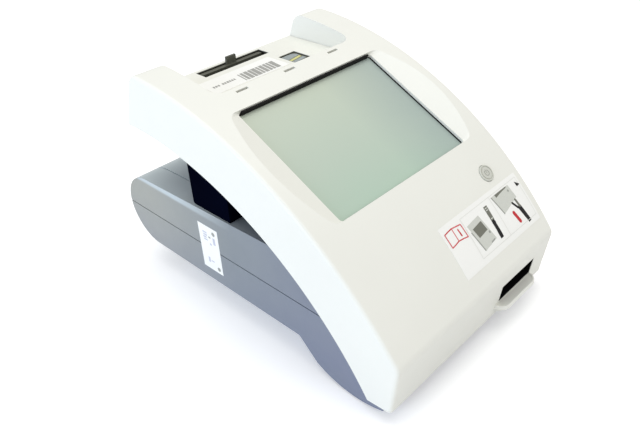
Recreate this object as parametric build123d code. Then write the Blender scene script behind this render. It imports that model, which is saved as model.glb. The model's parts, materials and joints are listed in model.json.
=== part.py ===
from build123d import *
import os
from math import acos, cos, pi, radians, sin, sqrt, tan

# Desktop urine analyzer: a white arched cover with a screen over a grey base, a test table
# that slides out at the front right, and a small thermal printer under the open bay on top.
# Millimetres. X to the right seen from the front, Y to the back, Z up, origin on the surface
# the analyzer stands on, under the middle of its bounding box.

# ---- Cover (arched band) ----
COVER_WIDTH = 171.0
COVER_HEIGHT = 162.0
CROWN_RADIUS = 278.5
CREST_Y = 98.85
BAND_DEPTH = 39.0
COVER_WALL = 3.0
SIDE_WALL = 2.5
HOLLOW_DEPTH = 25.0
HOLLOW_LOW_Z = -5.0
EDGE_ROUND = 2.4
NOSE_ROUND = 7.0
HEEL_ROUND = 11.0
TOE_Y = -121.85
TOE_Z = 11.6
TOE_DROP = 1.6
FRONT_LEAN = 7.3
HEEL_Y = 104.5
HEEL_BELOW_TOP = 36.9
REAR_LEAN = 20.6

# ---- Base ----
SIDE_GAP = 0.3
BASE_WALL = 2.5
SEAM_Z = 50.0
SEAM_GROOVE = 0.8
TAIL_RADIUS = 27.7
TAIL_Y = 102.2
BELLY_Z = 23.0
LEDGE_SLOPE = 1.9
STEP_Y = -47.0
FOOT_RADIUS = 62.0
FOOT_Y = -91.7
FOOT_BOTTOM = 1.0
FOOT_HEEL_Y = -62.0
FOOT_TOE_Y = -114.0
TOE_GAP = 0.7
BASE_FRONT_GAP = 0.7
KEEL_BOTTOM = 2.5
KEEL_FRONT_Y = -78.0
UPPER_TOP_RISE = 5.5
LEDGE_SEAM_X = 64.0
LEDGE_SEAM_WIDTH = 0.9
LEDGE_SEAM_DEPTH = 0.8

# ---- Middle housing (soffit under the band, neck down to the ledge) ----
SOFFIT_GAP = 0.5
SOFFIT_THICKNESS = 2.5
SOFFIT_FRONT_Y = -26.0
SOFFIT_LIP = 0.6
NECK_INSET = 1.2
NECK_TAPER = 1.0
NECK_FRONT_Y = 10.3
NECK_TURN_Y = 49.0
NECK_REAR_Y = 100.0
NECK_REAR_HALF = 47.0
NECK_ROUND = 12.0

# ---- Screen ----
SCREEN_TILT = 27.0
RIM_DEPTH = 5.9
WINDOW_WIDTH = 122.0
WINDOW_LENGTH = 92.0
WINDOW_CORNER = 2.5
PAN_THICKNESS = 1.8
PAN_MARGIN_X = 18.5
PAN_MARGIN_V = 6.0
BEZEL_RISE = 8.0
BEZEL_SPREAD_X = 22.0
BEZEL_CORNER = 9.0
RIM_LEDGE = 0.4
GASKET_THICKNESS = 0.5
GASKET_LAND = 3.0
GASKET_SHOW = 0.8
GASKET_LIP = 1.0
GASKET_LIP_RISE = 0.9
GASKET_FIT = 0.05
TOUCH_THICKNESS = 1.0
LCD_THICKNESS = 7.3
LCD_LEG = 5.0
LCD_LEG_WIDTH = 4.0
BOARD_THICKNESS = 1.6
BOARD_MARGIN_X = 13.0
BOARD_LENGTH = 92.0
POST_RADIUS = 3.0
POST_INSET = 5.0
BORE_ROOM = 1.0

# ---- Power button ----
BUTTON_X = 56.5
BUTTON_ANGLE = 41.8
BUTTON_RADIUS = 5.8
BUTTON_GAP = 0.25
BUTTON_PROUD = 0.8
BUTTON_RING = (4.1, 4.9)
BUTTON_RING_DEPTH = 0.4
BUTTON_SEAT_GAP = 0.2
BUTTON_END_GAP = 0.1
BUTTON_FLANGE = 1.2
BUTTON_FLANGE_HEIGHT = 1.2
BUTTON_TRAVEL = 1.2
BUTTON_STEM_RADIUS = 2.4
SWITCH_SIZE = 6.0
SWITCH_HEIGHT = 3.5
BUTTON_BOARD_DROP = 14.5
BUTTON_BOARD_WIDTH = 26.0
BUTTON_BOARD_LENGTH = 14.0
SPRING_WIRE = 0.5
SPRING_RADIUS = 4.6
SPRING_TURNS = 4

# ---- Printer bay ----
BAY_HALF_WIDTH = 62.0
BAY_FRONT_Y = 33.6
BAY_DEPTH = 18.3
BAY_CORNER = 9.0
BAY_WALL = 2.5
TRAY_THICKNESS = 2.5
TRAY_GAP = 0.25
TRAY_LEDGE = 2.5
TRAY_LEDGE_THICKNESS = 1.5
CLIP_ANGLE = 14.35
CLIP_X = (-44.2, -3.4, 38.0)
CLIP_LENGTH = 9.6
CLIP_WIDTH = 2.0
SLOT_X = (-32.0, 26.5)
SLOT_Y = (83.0, 94.4)

# ---- Printer ----
ROLL_WIDTH = 57.0
ROLL_RADIUS = 19.0
ROLL_CORE_RADIUS = 6.5
ROLL_CORE_WALL = 1.0
ROLL_Y = 58.0
ROLL_DROP = 31.7
ROLL_GAP = 0.5
TROUGH_WALL = 1.5
CHEEK_THICKNESS = 1.6
CHEEK_GAP = 2.9
CHEEK_FRONT_Y = 36.0
CHEEK_STEP_Y = 80.0
CHEEK_STEP_DROP = 5.2
CHEEK_BACK_DROP = 25.7
HEAD_BAR_THICKNESS = 2.0
HEAD_BAR_HEIGHT = 6.0
BRACKET_HALF = 8.4
BRACKET_HANGER = 10.0
CHEEK_REAR_Y = 94.8
PLATEN_Y = 87.5
PLATEN_DROP = 13.7
PLATEN_RADIUS = 5.0
PLATEN_LENGTH = 52.0
PLATEN_END = 1.6
PLATEN_SHAFT_RADIUS = 1.5
RUNNING_GAP = 0.05
SHAFT_END_GAP = 0.5
PRINT_MODULE = 0.8
PLATEN_TEETH = 20
MOTOR_TEETH = 10
GEAR_WIDTH = 3.0
GEAR_SIDE_GAP = 0.8
GEAR_BACKLASH = 0.16
MOTOR_DROP_ANGLE = 60.0
PRINT_MOTOR_RADIUS = 7.5
PRINT_MOTOR_LENGTH = 10.0
BRACKET_THICKNESS = 1.0
HEAD_GAP = 0.3
HEAD_CERAMIC = 0.7
HEAD_SINK = 2.2
HEAD_HEIGHT = 13.0
LEVER_PIVOT_Y = 91.5
LEVER_PIVOT_DROP = 8.2
LEVER_PIN_RADIUS = 1.2
LEVER_BAR_Y = (90.0, 93.6)
LEVER_BAR_DROP = (4.7, 1.3)
LEVER_TAB_X = -1.8
LEVER_TAB_WIDTH = 8.6
LEVER_TAB_HEIGHT = 5.6
LEVER_ARM_WIDTH = 1.8
LEVER_SIDE_GAP = 0.4

# ---- Memory card ----
CARD_X = 32.0
CARD_Y = 60.2
CARD_WIDTH = 15.0
CARD_LENGTH = 20.0
CARD_THICKNESS = 1.4
CARD_NOTCH = 3.0
CARD_GAP = 0.4
SOCKET_DEPTH = 4.2
SOCKET_RIM = 1.2
CONTACT_THICKNESS = 0.2
CONTACT_INSET = 2.0

# ---- Test table ----
TABLE_X = 45.0
TABLE_WIDTH = 37.0
TABLE_BOTTOM_Z = 22.3
TABLE_HEIGHT = 8.0
TABLE_FRONT_Y = -98.0
TABLE_LENGTH = 120.0
TABLE_CORNER = 8.0
TABLE_TRAVEL = 85.0
INSERT_WIDTH = 30.0
INSERT_LENGTH = 104.0
INSERT_DEPTH = 3.0
INSERT_PROUD = 1.4
INSERT_GAP = 0.3
CHANNEL_WIDTH = 6.0
CHANNEL_DEPTH = 1.6
CALIBRATION_LENGTH = 8.0
CALIBRATION_HEIGHT = 1.2
MOUTH_WIDTH = 40.0
MOUTH_BOTTOM_Z = 21.4
MOUTH_HEIGHT = 13.9
LINER_WALL = 0.7
LINER_FIT = 0.15
LINER_SET = 0.3
RACK_MODULE = 1.0
PINION_TEETH = 12
PINION_Y = -72.0
PINION_WIDTH = 5.0
RACK_BACKLASH = 0.24
TABLE_SHAFT_RADIUS = 1.5
TABLE_MOTOR_RADIUS = 12.0
TABLE_MOTOR_HEIGHT = 13.0
MOTOR_PLATE_EDGE = 1.0
GUIDE_WALL = 2.0
GUIDE_GAP = 0.4
GUIDE_FRONT_GAP = 0.3
GUIDE_TOP_Z = 36.0
GUIDE_REAR_Y = 30.0
GUIDE_ROOF_REAR_Y = -52.0
RIB_Y = (-56.0, -20.0, 18.0)
RIB_THICKNESS = 2.5

# ---- Chin under the table mouth ----
CHIN_SPAN = (20.5, 66.5)
CHIN_REACH = 7.2
CHIN_SLANT = 0.9
CHIN_CORNER = 8.0
CHIN_TOP_Z = 21.3
CHIN_EDGE = 2.8
CHIN_BOTTOM_Z = 13.2
CHIN_DRAFT = 4.5
CHIN_RIM = 1.0
CHIN_SCOOP = 0.4

# ---- Read head ----
OPTICS_Y = (-50.0, 0.0)
OPTICS_HEIGHT = 20.0
OPTICS_WALL = 2.0
LED_BLOCK = (16.0, 10.0, 6.0)
LENS_RADIUS = 5.0
LENS_HEIGHT = 3.0
LENS_LIP = 1.0
LENS_GAP = 0.05

# ---- Batteries ----
CELL_RADIUS = 7.1
CELL_LENGTH = 50.0
CELL_NUB = 1.0
CELL_NUB_RADIUS = 2.75
CELL_END_ROOM = 2.5
CONTACT_PLATE = 0.4
CONTACT_BOSS_RADIUS = 3.2
CELL_LIFT = 0.3
CELL_PITCH = 15.0
CELL_COLUMNS = 3
CELL_ROWS = 2
CELL_X = -33.0
BATTERY_Y = (-42.0, 64.0)
BATTERY_ROOM = 46.0
BATTERY_ROOF_Z = 20.6
BATTERY_WALL = 2.0
DOOR_THICKNESS = 2.0
DOOR_LAP = 2.5
DOOR_GAP = 0.4
HINGE_PIN_RADIUS = 1.2
HINGE_KNUCKLE_RADIUS = 2.4
HINGE_LENGTH = 24.0
HINGE_CHEEK = 2.0
PIN_FIT = 0.02

# ---- Ports, feet, screws, labels ----
PORT_WALL_Y = 125.0
PORT_RECESS_X = 45.0
PORT_RECESS_Z = (31.0, 47.0)
JACK_X = -28.0
JACK_RADIUS = 4.6
JACK_BORE_RADIUS = 2.9
JACK_PIN_RADIUS = 1.0
JACK_DEPTH = 9.5
JACK_BODY = 11.0
PORT_Z = 41.8
SERIAL_X = 16.0
SERIAL_WIDTH = 17.0
SERIAL_HEIGHT = 8.4
SERIAL_REACH = 6.0
SERIAL_BODY = 31.0
SERIAL_FLANGE = 1.7
SERIAL_CORNER = 2.0
PORT_FIT = 0.15
PAD_RADIUS = 4.8
PAD_RECESS = 0.8
CHIP_SIZES = ((22.0, 22.0, 2.4), (14.0, 10.0, 1.8), (30.0, 6.0, 3.0))
CHIP_PLACES = ((-30.0, 10.0), (20.0, -18.0), (15.0, 28.0))
PAD_PLACES = ((-66.0, FOOT_Y), (66.0, FOOT_Y), (-52.0, 76.6), (52.0, 76.6))
SCREW_RADIUS = 1.4
SCREW_HEAD_RADIUS = 2.8
SCREW_HEAD_HEIGHT = 1.8
SCREW_GAP = 0.1
BOSS_RADIUS = 4.0
CASE_SCREWS = ((-40.0, -60.0), (8.0, -30.0), (0.0, 76.0), (40.0, 60.0))
SCREW_BITE = 8.0
BOARD_SCREW_BITE = 6.0
SEAT_GAP = 0.4
COVER_BOSS_INSETS = ((7.1, 3.0), (12.5, 86.0))
BOSS_BITE = 9.0
SEAT_WALL = 0.8
LABEL_THICKNESS = 0.15
FRONT_LABEL_X = (-8.0, 79.0)
FRONT_LABEL_ANGLE = (43.9, 51.2)
SIDE_LABEL_Y = (24.9, 45.1)
SIDE_LABEL_Z = (31.9, 68.8)
BAY_LABEL_X = (-45.0, 20.0)
BAY_LABEL_Y = (54.5, 77.0)

# ---- Worked out ----
TOE = Vector(TOE_Y, TOE_Z)
HEEL = Vector(HEEL_Y, COVER_HEIGHT - HEEL_BELOW_TOP)
AXIS = Vector(CREST_Y, COVER_HEIGHT - CROWN_RADIUS)
BAND_RADIUS = CROWN_RADIUS - BAND_DEPTH
FRONT_UP = Vector(-sin(radians(FRONT_LEAN)), cos(radians(FRONT_LEAN)))
FRONT_OUT = Vector(-FRONT_UP.Y, FRONT_UP.X)
REAR_UP = Vector(-sin(radians(REAR_LEAN)), cos(radians(REAR_LEAN)))
REAR_OUT = Vector(REAR_UP.Y, -REAR_UP.X)
COVER_INNER_HALF = COVER_WIDTH / 2 - SIDE_WALL
BASE_HALF = COVER_INNER_HALF - SIDE_GAP
TAIL_Z = BELLY_Z + TAIL_RADIUS
KEEL_BEVEL = BELLY_Z - KEEL_BOTTOM
UPPER_TOP_RADIUS = BAND_RADIUS + UPPER_TOP_RISE
RIM_DISTANCE = CROWN_RADIUS - RIM_DEPTH
SOFFIT_LOW_RADIUS = BAND_RADIUS + SOFFIT_GAP
SOFFIT_TOP_RADIUS = SOFFIT_LOW_RADIUS + SOFFIT_THICKNESS
BASE_FRONT_Y = TOE.X + COVER_WALL + BASE_FRONT_GAP
BAY_FLOOR_Z = COVER_HEIGHT - BAY_DEPTH
TRAY_BOTTOM_Z = BAY_FLOOR_Z - TRAY_THICKNESS
ROLL_Z = BAY_FLOOR_Z - ROLL_DROP
PLATEN_Z = BAY_FLOOR_Z - PLATEN_DROP
CHEEK_BACK_LOW_Z = BAY_FLOOR_Z - CHEEK_BACK_DROP
LEVER_PIVOT_Z = BAY_FLOOR_Z - LEVER_PIVOT_DROP
LEVER_BAR_Z = (BAY_FLOOR_Z - LEVER_BAR_DROP[0], BAY_FLOOR_Z - LEVER_BAR_DROP[1])
TABLE_LEFT_X = TABLE_X - TABLE_WIDTH / 2
PINION_X = TABLE_LEFT_X + RACK_MODULE - PINION_TEETH * RACK_MODULE / 2
GUIDE_INNER_HALF = TABLE_WIDTH / 2 + GUIDE_GAP
GUIDE_FLOOR_Z = TABLE_BOTTOM_Z
GUIDE_BOTTOM_Z = GUIDE_FLOOR_Z - GUIDE_WALL
FLOOR_Z = KEEL_BOTTOM + BASE_WALL
ROLL_X = (SLOT_X[0] + SLOT_X[1]) / 2
CHEEK_LEFT_X = ROLL_X - ROLL_WIDTH / 2 - CHEEK_GAP
CHEEK_RIGHT_X = ROLL_X + ROLL_WIDTH / 2 + CHEEK_GAP
GEAR_X = CHEEK_RIGHT_X + CHEEK_THICKNESS + GEAR_SIDE_GAP
BRACKET_X = GEAR_X + GEAR_WIDTH + GEAR_SIDE_GAP
DOOR_TOP_Z = KEEL_BOTTOM + DOOR_THICKNESS
HINGE_Y = BATTERY_Y[1] + DOOR_LAP + HINGE_KNUCKLE_RADIUS
HINGE_Z = KEEL_BOTTOM + HINGE_KNUCKLE_RADIUS
CHEEK_STEP_Z = TRAY_BOTTOM_Z - CHEEK_STEP_DROP
PRINT_CENTRES = (PLATEN_TEETH + MOTOR_TEETH) * PRINT_MODULE / 2
MOTOR_Y = PLATEN_Y - PRINT_CENTRES * cos(radians(MOTOR_DROP_ANGLE))
MOTOR_Z = PLATEN_Z - PRINT_CENTRES * sin(radians(MOTOR_DROP_ANGLE))
HEAD_FRONT_Y = PLATEN_Y - PLATEN_RADIUS - HEAD_GAP
HEAD_BACK_Y = HEAD_FRONT_Y - HEAD_CERAMIC - HEAD_SINK
TABLE_TOP_Z = TABLE_BOTTOM_Z + TABLE_HEIGHT
PINION_Z = TABLE_BOTTOM_Z + TABLE_HEIGHT / 2
OPTICS_MIDDLE_Y = (OPTICS_Y[0] + OPTICS_Y[1]) / 2
OPTICS_TOP_Z = GUIDE_TOP_Z + OPTICS_HEIGHT
GUIDE_FRONT_Y = TOE.X + COVER_WALL + GUIDE_FRONT_GAP
GASKET_TOP = RIM_DISTANCE - PAN_THICKNESS
TOUCH_TOP = GASKET_TOP - GASKET_THICKNESS
LCD_TOP = TOUCH_TOP - TOUCH_THICKNESS
BOARD_TOP = LCD_TOP - LCD_THICKNESS - LCD_LEG
BOARD_WIDTH = WINDOW_WIDTH + 2 * BOARD_MARGIN_X
BOARD_CORNERS = [
    (x * (BOARD_WIDTH / 2 - POST_INSET), v * (BOARD_LENGTH / 2 - POST_INSET))
    for x in (-1, 1)
    for v in (-1, 1)
]
BUTTON_BOARD_TOP = CROWN_RADIUS - BUTTON_BOARD_DROP
COVER_BOSSES = [
    (side * (COVER_WIDTH / 2 - inset), y) for inset, y in COVER_BOSS_INSETS for side in (-1, 1)
]


# ---- Small geometry helpers ----
def on_circle(radius, y):
    """Upper point, at this Y, of the circle of this radius about the crown's axis."""
    return Vector(y, AXIS.Y + sqrt(radius**2 - (y - AXIS.X) ** 2))


def on_circle_at_height(radius, z):
    """Front point, at this Z, of the circle of this radius about the crown's axis."""
    return Vector(AXIS.X - sqrt(radius**2 - (z - AXIS.Y) ** 2), z)


def at_angle(radius, angle):
    """Point at this radius, turned forward from straight above the crown's axis."""
    return AXIS + Vector(-sin(radians(angle)), cos(radians(angle))) * radius


def crossing(point, direction, radius):
    """Where the line through point meets the circle about the crown's axis, going up."""
    rel = point - AXIS
    half = rel.dot(direction)
    return point + direction * (sqrt(half**2 - rel.dot(rel) + radius**2) - half)


def arc_about_axis(start, end, radius):
    """Arc about the crown's axis between two points on it."""
    middle = ((start + end) / 2 - AXIS).normalized() * radius + AXIS
    return ThreePointArc(start, middle, end)


def prism(sketch, x_low, x_high):
    """Side-view sketch (local x = Y, local y = Z) carried from x_low to x_high."""
    return extrude(Plane.YZ.offset(x_low) * sketch, amount=x_high - x_low)


def across(sketch, half_width):
    return prism(sketch, -half_width, half_width)


def block(x_span, y_span, z_span):
    low = (min(x_span), min(y_span), min(z_span))
    size = [abs(span[1] - span[0]) for span in (x_span, y_span, z_span)]
    return Pos(*low) * Box(*size, align=(Align.MIN, Align.MIN, Align.MIN))


def rod_z(x, y, z_low, z_high, radius):
    length = z_high - z_low
    return Pos(x, y, z_low) * Cylinder(radius, length, align=(Align.CENTER, Align.CENTER, Align.MIN))


def rod_x(x_low, x_high, y, z, radius):
    rod = Cylinder(radius, x_high - x_low, align=(Align.CENTER, Align.CENTER, Align.MIN))
    return Pos(x_low, y, z) * Rot(0, 90, 0) * rod


def rod_y(x, y_low, y_high, z, radius):
    rod = Cylinder(radius, y_high - y_low, align=(Align.CENTER, Align.CENTER, Align.MIN))
    return Pos(x, y_low, z) * Rot(-90, 0, 0) * rod


def radial_plane(distance, angle, x=0.0):
    """Plane square to the crown's radius at this angle; local y runs up the slope."""
    place = at_angle(distance, angle)
    normal = (0, -sin(radians(angle)), cos(radians(angle)))
    return Plane(origin=(x, place.X, place.Y), x_dir=(1, 0, 0), z_dir=normal)


def screen_box(width, length, low, high):
    """Box in the screen's frame between two distances from the crown's axis."""
    box = Box(width, length, high - low, align=(Align.CENTER, Align.CENTER, Align.MIN))
    return radial_plane(low, SCREEN_TILT) * box


def screen_rod(x, v, low, high, radius):
    """Post square to the screen between two distances from the crown's axis."""
    rod = Cylinder(radius, high - low, align=(Align.CENTER, Align.CENTER, Align.MIN))
    return radial_plane(low, SCREEN_TILT) * Pos(x, v, 0) * rod


def ring_sector(inner_radius, outer_radius, front_y, rear_y, half_width):
    """Part of a tube about the crown's axis, between two Y values of its outer face."""
    outer_rear = on_circle(outer_radius, rear_y)
    outer_front = on_circle(outer_radius, front_y)
    inner_rear = AXIS + (outer_rear - AXIS).normalized() * inner_radius
    inner_front = AXIS + (outer_front - AXIS).normalized() * inner_radius
    edges = [
        arc_about_axis(outer_front, outer_rear, outer_radius),
        Line(outer_rear, inner_rear),
        arc_about_axis(inner_rear, inner_front, inner_radius),
        Line(inner_front, outer_front),
    ]
    return across(make_face(edges), half_width)


def gear_face(teeth, module, backlash):
    """Involute spur gear seen along its axis, with a tooth pointing along local +X."""
    pitch = teeth * module / 2
    root = pitch - 1.15 * module
    tip = pitch + 0.9 * module
    pressure = radians(20)
    base = pitch * cos(pressure)

    def roll(radius):
        turn = acos(min(1.0, base / radius))
        return tan(turn) - turn

    half = (pi * module / 2 - backlash) / 2 / pitch + roll(pitch)
    flank = [max(base, root) + (tip - max(base, root)) * step / 3 for step in range(4)]
    outline = []
    for tooth in range(teeth):
        centre = 2 * pi * tooth / teeth
        rising = [(root, centre - half)] if root < base else []
        rising += [(radius, centre - half + roll(radius)) for radius in flank]
        falling = [(radius, 2 * centre - angle) for radius, angle in reversed(rising)]
        outline += [(radius * cos(angle), radius * sin(angle)) for radius, angle in rising + falling]
    return make_face(Polyline(*outline, close=True))


def save(node, shape):
    shape.label = node
    export_step(shape, f"parts/{node}.step")


# ---- Cover ----
def arch_profile(grow, low_radius, low_z):
    """Side view of the arched band, grown outward, down to a lower arc."""
    crown = CROWN_RADIUS + grow
    front = TOE + FRONT_OUT * grow
    rear = HEEL + REAR_OUT * grow
    sill = front - FRONT_UP * ((front.Y - low_z) / FRONT_UP.Y)
    nose = crossing(front, FRONT_UP, crown)
    heel = crossing(rear, REAR_UP, crown)
    rear_low = crossing(rear - REAR_UP * BAND_DEPTH, REAR_UP, low_radius)
    front_low = on_circle_at_height(low_radius, min(low_z, TOE.Y - TOE_DROP))
    edges = [
        Line(sill, nose),
        arc_about_axis(nose, heel, crown),
        Line(heel, rear_low),
        arc_about_axis(rear_low, front_low, low_radius),
        Line(front_low, sill),
    ]
    face = make_face(edges)
    for corner, size in ((nose, NOSE_ROUND), (heel, HEEL_ROUND)):
        vertex = face.vertices().sort_by_distance((corner.X, corner.Y, 0))[0]
        face = fillet(vertex, size + grow)
    return face


def cover_outside():
    body = across(arch_profile(0, BAND_RADIUS, TOE.Y), COVER_WIDTH / 2)
    rims = []
    for side in body.faces().filter_by(Axis.X):
        for edge in side.edges():
            middle = edge @ 0.5
            reach = (Vector(middle.Y, middle.Z) - AXIS).length
            if reach > BAND_RADIUS + EDGE_ROUND and middle.Z > TOE.Y:
                rims.append(edge)
    return fillet(rims, EDGE_ROUND)


def screen_recess():
    """Shallow funnel from the crown down to the screen's flat rim."""
    low = radial_plane(RIM_DISTANCE, SCREEN_TILT)
    high = radial_plane(RIM_DISTANCE + BEZEL_RISE, SCREEN_TILT)
    length = WINDOW_LENGTH + 2 * RIM_LEDGE
    small = RectangleRounded(WINDOW_WIDTH + 2 * RIM_LEDGE, length, WINDOW_CORNER)
    large = RectangleRounded(WINDOW_WIDTH + 2 * BEZEL_SPREAD_X, length, BEZEL_CORNER)
    return loft([low * small, high * large])


def bay_cut(margin, z_low):
    """Room of the printer bay: open at the back, rounded corners at the front."""
    half = BAY_HALF_WIDTH + margin
    rear_y = CREST_Y + BAND_DEPTH
    room = block((-half, half), (BAY_FRONT_Y - margin, rear_y), (z_low, COVER_HEIGHT + BAY_DEPTH))
    corners = room.edges().filter_by(Axis.Z).sort_by(Axis.Y)[:2]
    return fillet(corners, BAY_CORNER + margin)


def cover_boss(x, y):
    """Screw post from the crown down onto the soffit."""
    soffit = on_circle(SOFFIT_TOP_RADIUS, y).Y
    post = rod_z(x, y, soffit - BOSS_RADIUS, COVER_HEIGHT, BOSS_RADIUS)
    post -= rod_z(x, y, soffit - BOSS_RADIUS, soffit + BOSS_BITE, SCREW_RADIUS + SCREW_GAP)
    return post - rod_x(-COVER_WIDTH, COVER_WIDTH, AXIS.X, AXIS.Y, SOFFIT_TOP_RADIUS)


def mouth_block(inset, low_z, rear_y):
    """Room of the test table's mouth, from ahead of the front face back to rear_y."""
    half = MOUTH_WIDTH / 2 - inset
    high = MOUTH_BOTTOM_Z + MOUTH_HEIGHT - inset
    return block((TABLE_X - half, TABLE_X + half), (TOE.X - MOUTH_HEIGHT, rear_y), (low_z, high))


def make_cover():
    outside = cover_outside()
    inside = across(arch_profile(-COVER_WALL, BAND_RADIUS - HOLLOW_DEPTH, HOLLOW_LOW_Z), COVER_INNER_HALF)
    cover = outside - inside
    pan_low = GASKET_TOP
    pan_size = (WINDOW_WIDTH + 2 * PAN_MARGIN_X, WINDOW_LENGTH + 2 * PAN_MARGIN_V)
    cover += screen_box(*pan_size, pan_low, CROWN_RADIUS) & outside
    recess = screen_recess()
    window = radial_plane(TOUCH_TOP, SCREEN_TILT) * extrude(
        RectangleRounded(WINDOW_WIDTH, WINDOW_LENGTH, WINDOW_CORNER), 2 * PAN_THICKNESS
    )
    cover = cover - recess - window
    for x, v in BOARD_CORNERS:
        cover += screen_rod(x, v, BOARD_TOP, pan_low, POST_RADIUS)
        bore_end = BOARD_TOP + BOARD_SCREW_BITE + BORE_ROOM
        cover -= screen_rod(x, v, BOARD_TOP, bore_end, SCREW_RADIUS + SCREW_GAP)
    cover += bay_cut(BAY_WALL, TRAY_BOTTOM_Z - TRAY_LEDGE_THICKNESS) & outside
    cover -= bay_cut(0, TRAY_BOTTOM_Z)
    cover -= bay_cut(-TRAY_LEDGE, 0) & inside
    for x in CLIP_X:
        cover -= radial_plane(CROWN_RADIUS, CLIP_ANGLE, x) * Box(CLIP_LENGTH, CLIP_WIDTH, 4 * COVER_WALL)
    for place in COVER_BOSSES:
        cover += cover_boss(*place) & outside
    hole = Cylinder(BUTTON_RADIUS + BUTTON_GAP, 4 * COVER_WALL)
    cover -= radial_plane(CROWN_RADIUS, BUTTON_ANGLE, BUTTON_X) * hole
    cover += button_posts()
    return cover - mouth_block(0, MOUTH_BOTTOM_Z, GUIDE_FRONT_Y)


def button_posts():
    """Two posts behind the crown that carry the button's small board."""
    plane = radial_plane(BUTTON_BOARD_TOP, BUTTON_ANGLE, BUTTON_X)
    height = CROWN_RADIUS - COVER_WALL / 2 - BUTTON_BOARD_TOP
    reach = BUTTON_BOARD_WIDTH / 2 - POST_RADIUS
    post = Cylinder(POST_RADIUS, height, align=(Align.CENTER, Align.CENTER, Align.MIN))
    return [plane * Pos(side * reach, 0, 0) * post for side in (-1, 1)]


# ---- Base ----
def tail_point(z):
    return Vector(TAIL_Y + sqrt(TAIL_RADIUS**2 - (z - TAIL_Z) ** 2), z)


def foot_point(y):
    return Vector(y, FOOT_BOTTOM + FOOT_RADIUS - sqrt(FOOT_RADIUS**2 - (y - FOOT_Y) ** 2))


def upper_profile(low_z):
    """Side view of the base above the seam: round tail, sloped ledge, top under the band."""
    slope = radians(LEDGE_SLOPE)
    ledge_rear = Vector(TAIL_Y, TAIL_Z) + Vector(sin(slope), cos(slope)) * TAIL_RADIUS
    ledge_front = crossing(ledge_rear, Vector(-cos(slope), sin(slope)), UPPER_TOP_RADIUS)
    front = on_circle_at_height(UPPER_TOP_RADIUS, low_z)
    tail_middle = tail_point(TAIL_Z + TAIL_RADIUS * sin(pi / 4))
    edges = [
        Line(front, tail_point(low_z)),
        ThreePointArc(tail_point(low_z), tail_middle, ledge_rear),
        Line(ledge_rear, ledge_front),
        arc_about_axis(ledge_front, front, UPPER_TOP_RADIUS),
    ]
    return make_face(edges)


def lower_profile(top_z):
    """Side view of the base below the seam: curved front foot, step, belly, round tail."""
    shelf_z = TOE.Y - TOE_GAP
    step = Vector(STEP_Y, BELLY_Z)
    belly_end = Vector(TAIL_Y, BELLY_Z)
    tail_middle = tail_point(TAIL_Z - TAIL_RADIUS * sin(pi / 4))
    edges = [
        Polyline((BASE_FRONT_Y, top_z), (BASE_FRONT_Y, shelf_z), (FOOT_TOE_Y, shelf_z), foot_point(FOOT_TOE_Y)),
        ThreePointArc(foot_point(FOOT_TOE_Y), foot_point(FOOT_Y), foot_point(FOOT_HEEL_Y)),
        Polyline(foot_point(FOOT_HEEL_Y), step, belly_end),
        ThreePointArc(belly_end, tail_middle, tail_point(top_z)),
        Line(tail_point(top_z), (BASE_FRONT_Y, top_z)),
    ]
    return make_face(edges)


def keel(low_z, high_z, shrink):
    """Hull below the belly: 45 degree bevels on every side, narrower towards the bottom."""
    rings = []
    for z in (low_z, high_z):
        reach = BELLY_Z - z + shrink
        front = KEEL_FRONT_Y - KEEL_BEVEL + reach
        rear = TAIL_Y - reach
        ring = Rectangle(2 * (BASE_HALF - reach), rear - front)
        rings.append(Pos(0, (front + rear) / 2, z) * ring)
    return loft(rings)


def hollow(profile, wall):
    """Room inside a base half whose side view is profile."""
    return across(offset(profile, amount=-wall, kind=Kind.INTERSECTION), BASE_HALF - wall)


def screw_holes(z_low, z_high):
    radius = SCREW_RADIUS + SCREW_GAP
    return [rod_z(x, y, z_low, z_high, radius) for x, y in CASE_SCREWS]


def battery_block(margin, z_low, z_high):
    half = BATTERY_ROOM / 2 + margin
    y_span = (BATTERY_Y[0] - margin, BATTERY_Y[1] + margin)
    return block((CELL_X - half, CELL_X + half), y_span, (z_low, z_high))


def hinge_block(margin, z_low):
    """Pocket for the battery door's knuckle."""
    half = HINGE_LENGTH / 2 + DOOR_GAP + margin
    reach = HINGE_KNUCKLE_RADIUS + DOOR_GAP + margin
    return block((CELL_X - half, CELL_X + half), (HINGE_Y - reach, HINGE_Y + reach), (z_low, HINGE_Z + reach))


def port_cut():
    half = PORT_RECESS_X
    return block((-half, half), (PORT_WALL_Y, PORT_WALL_Y + TAIL_RADIUS), PORT_RECESS_Z)


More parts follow.
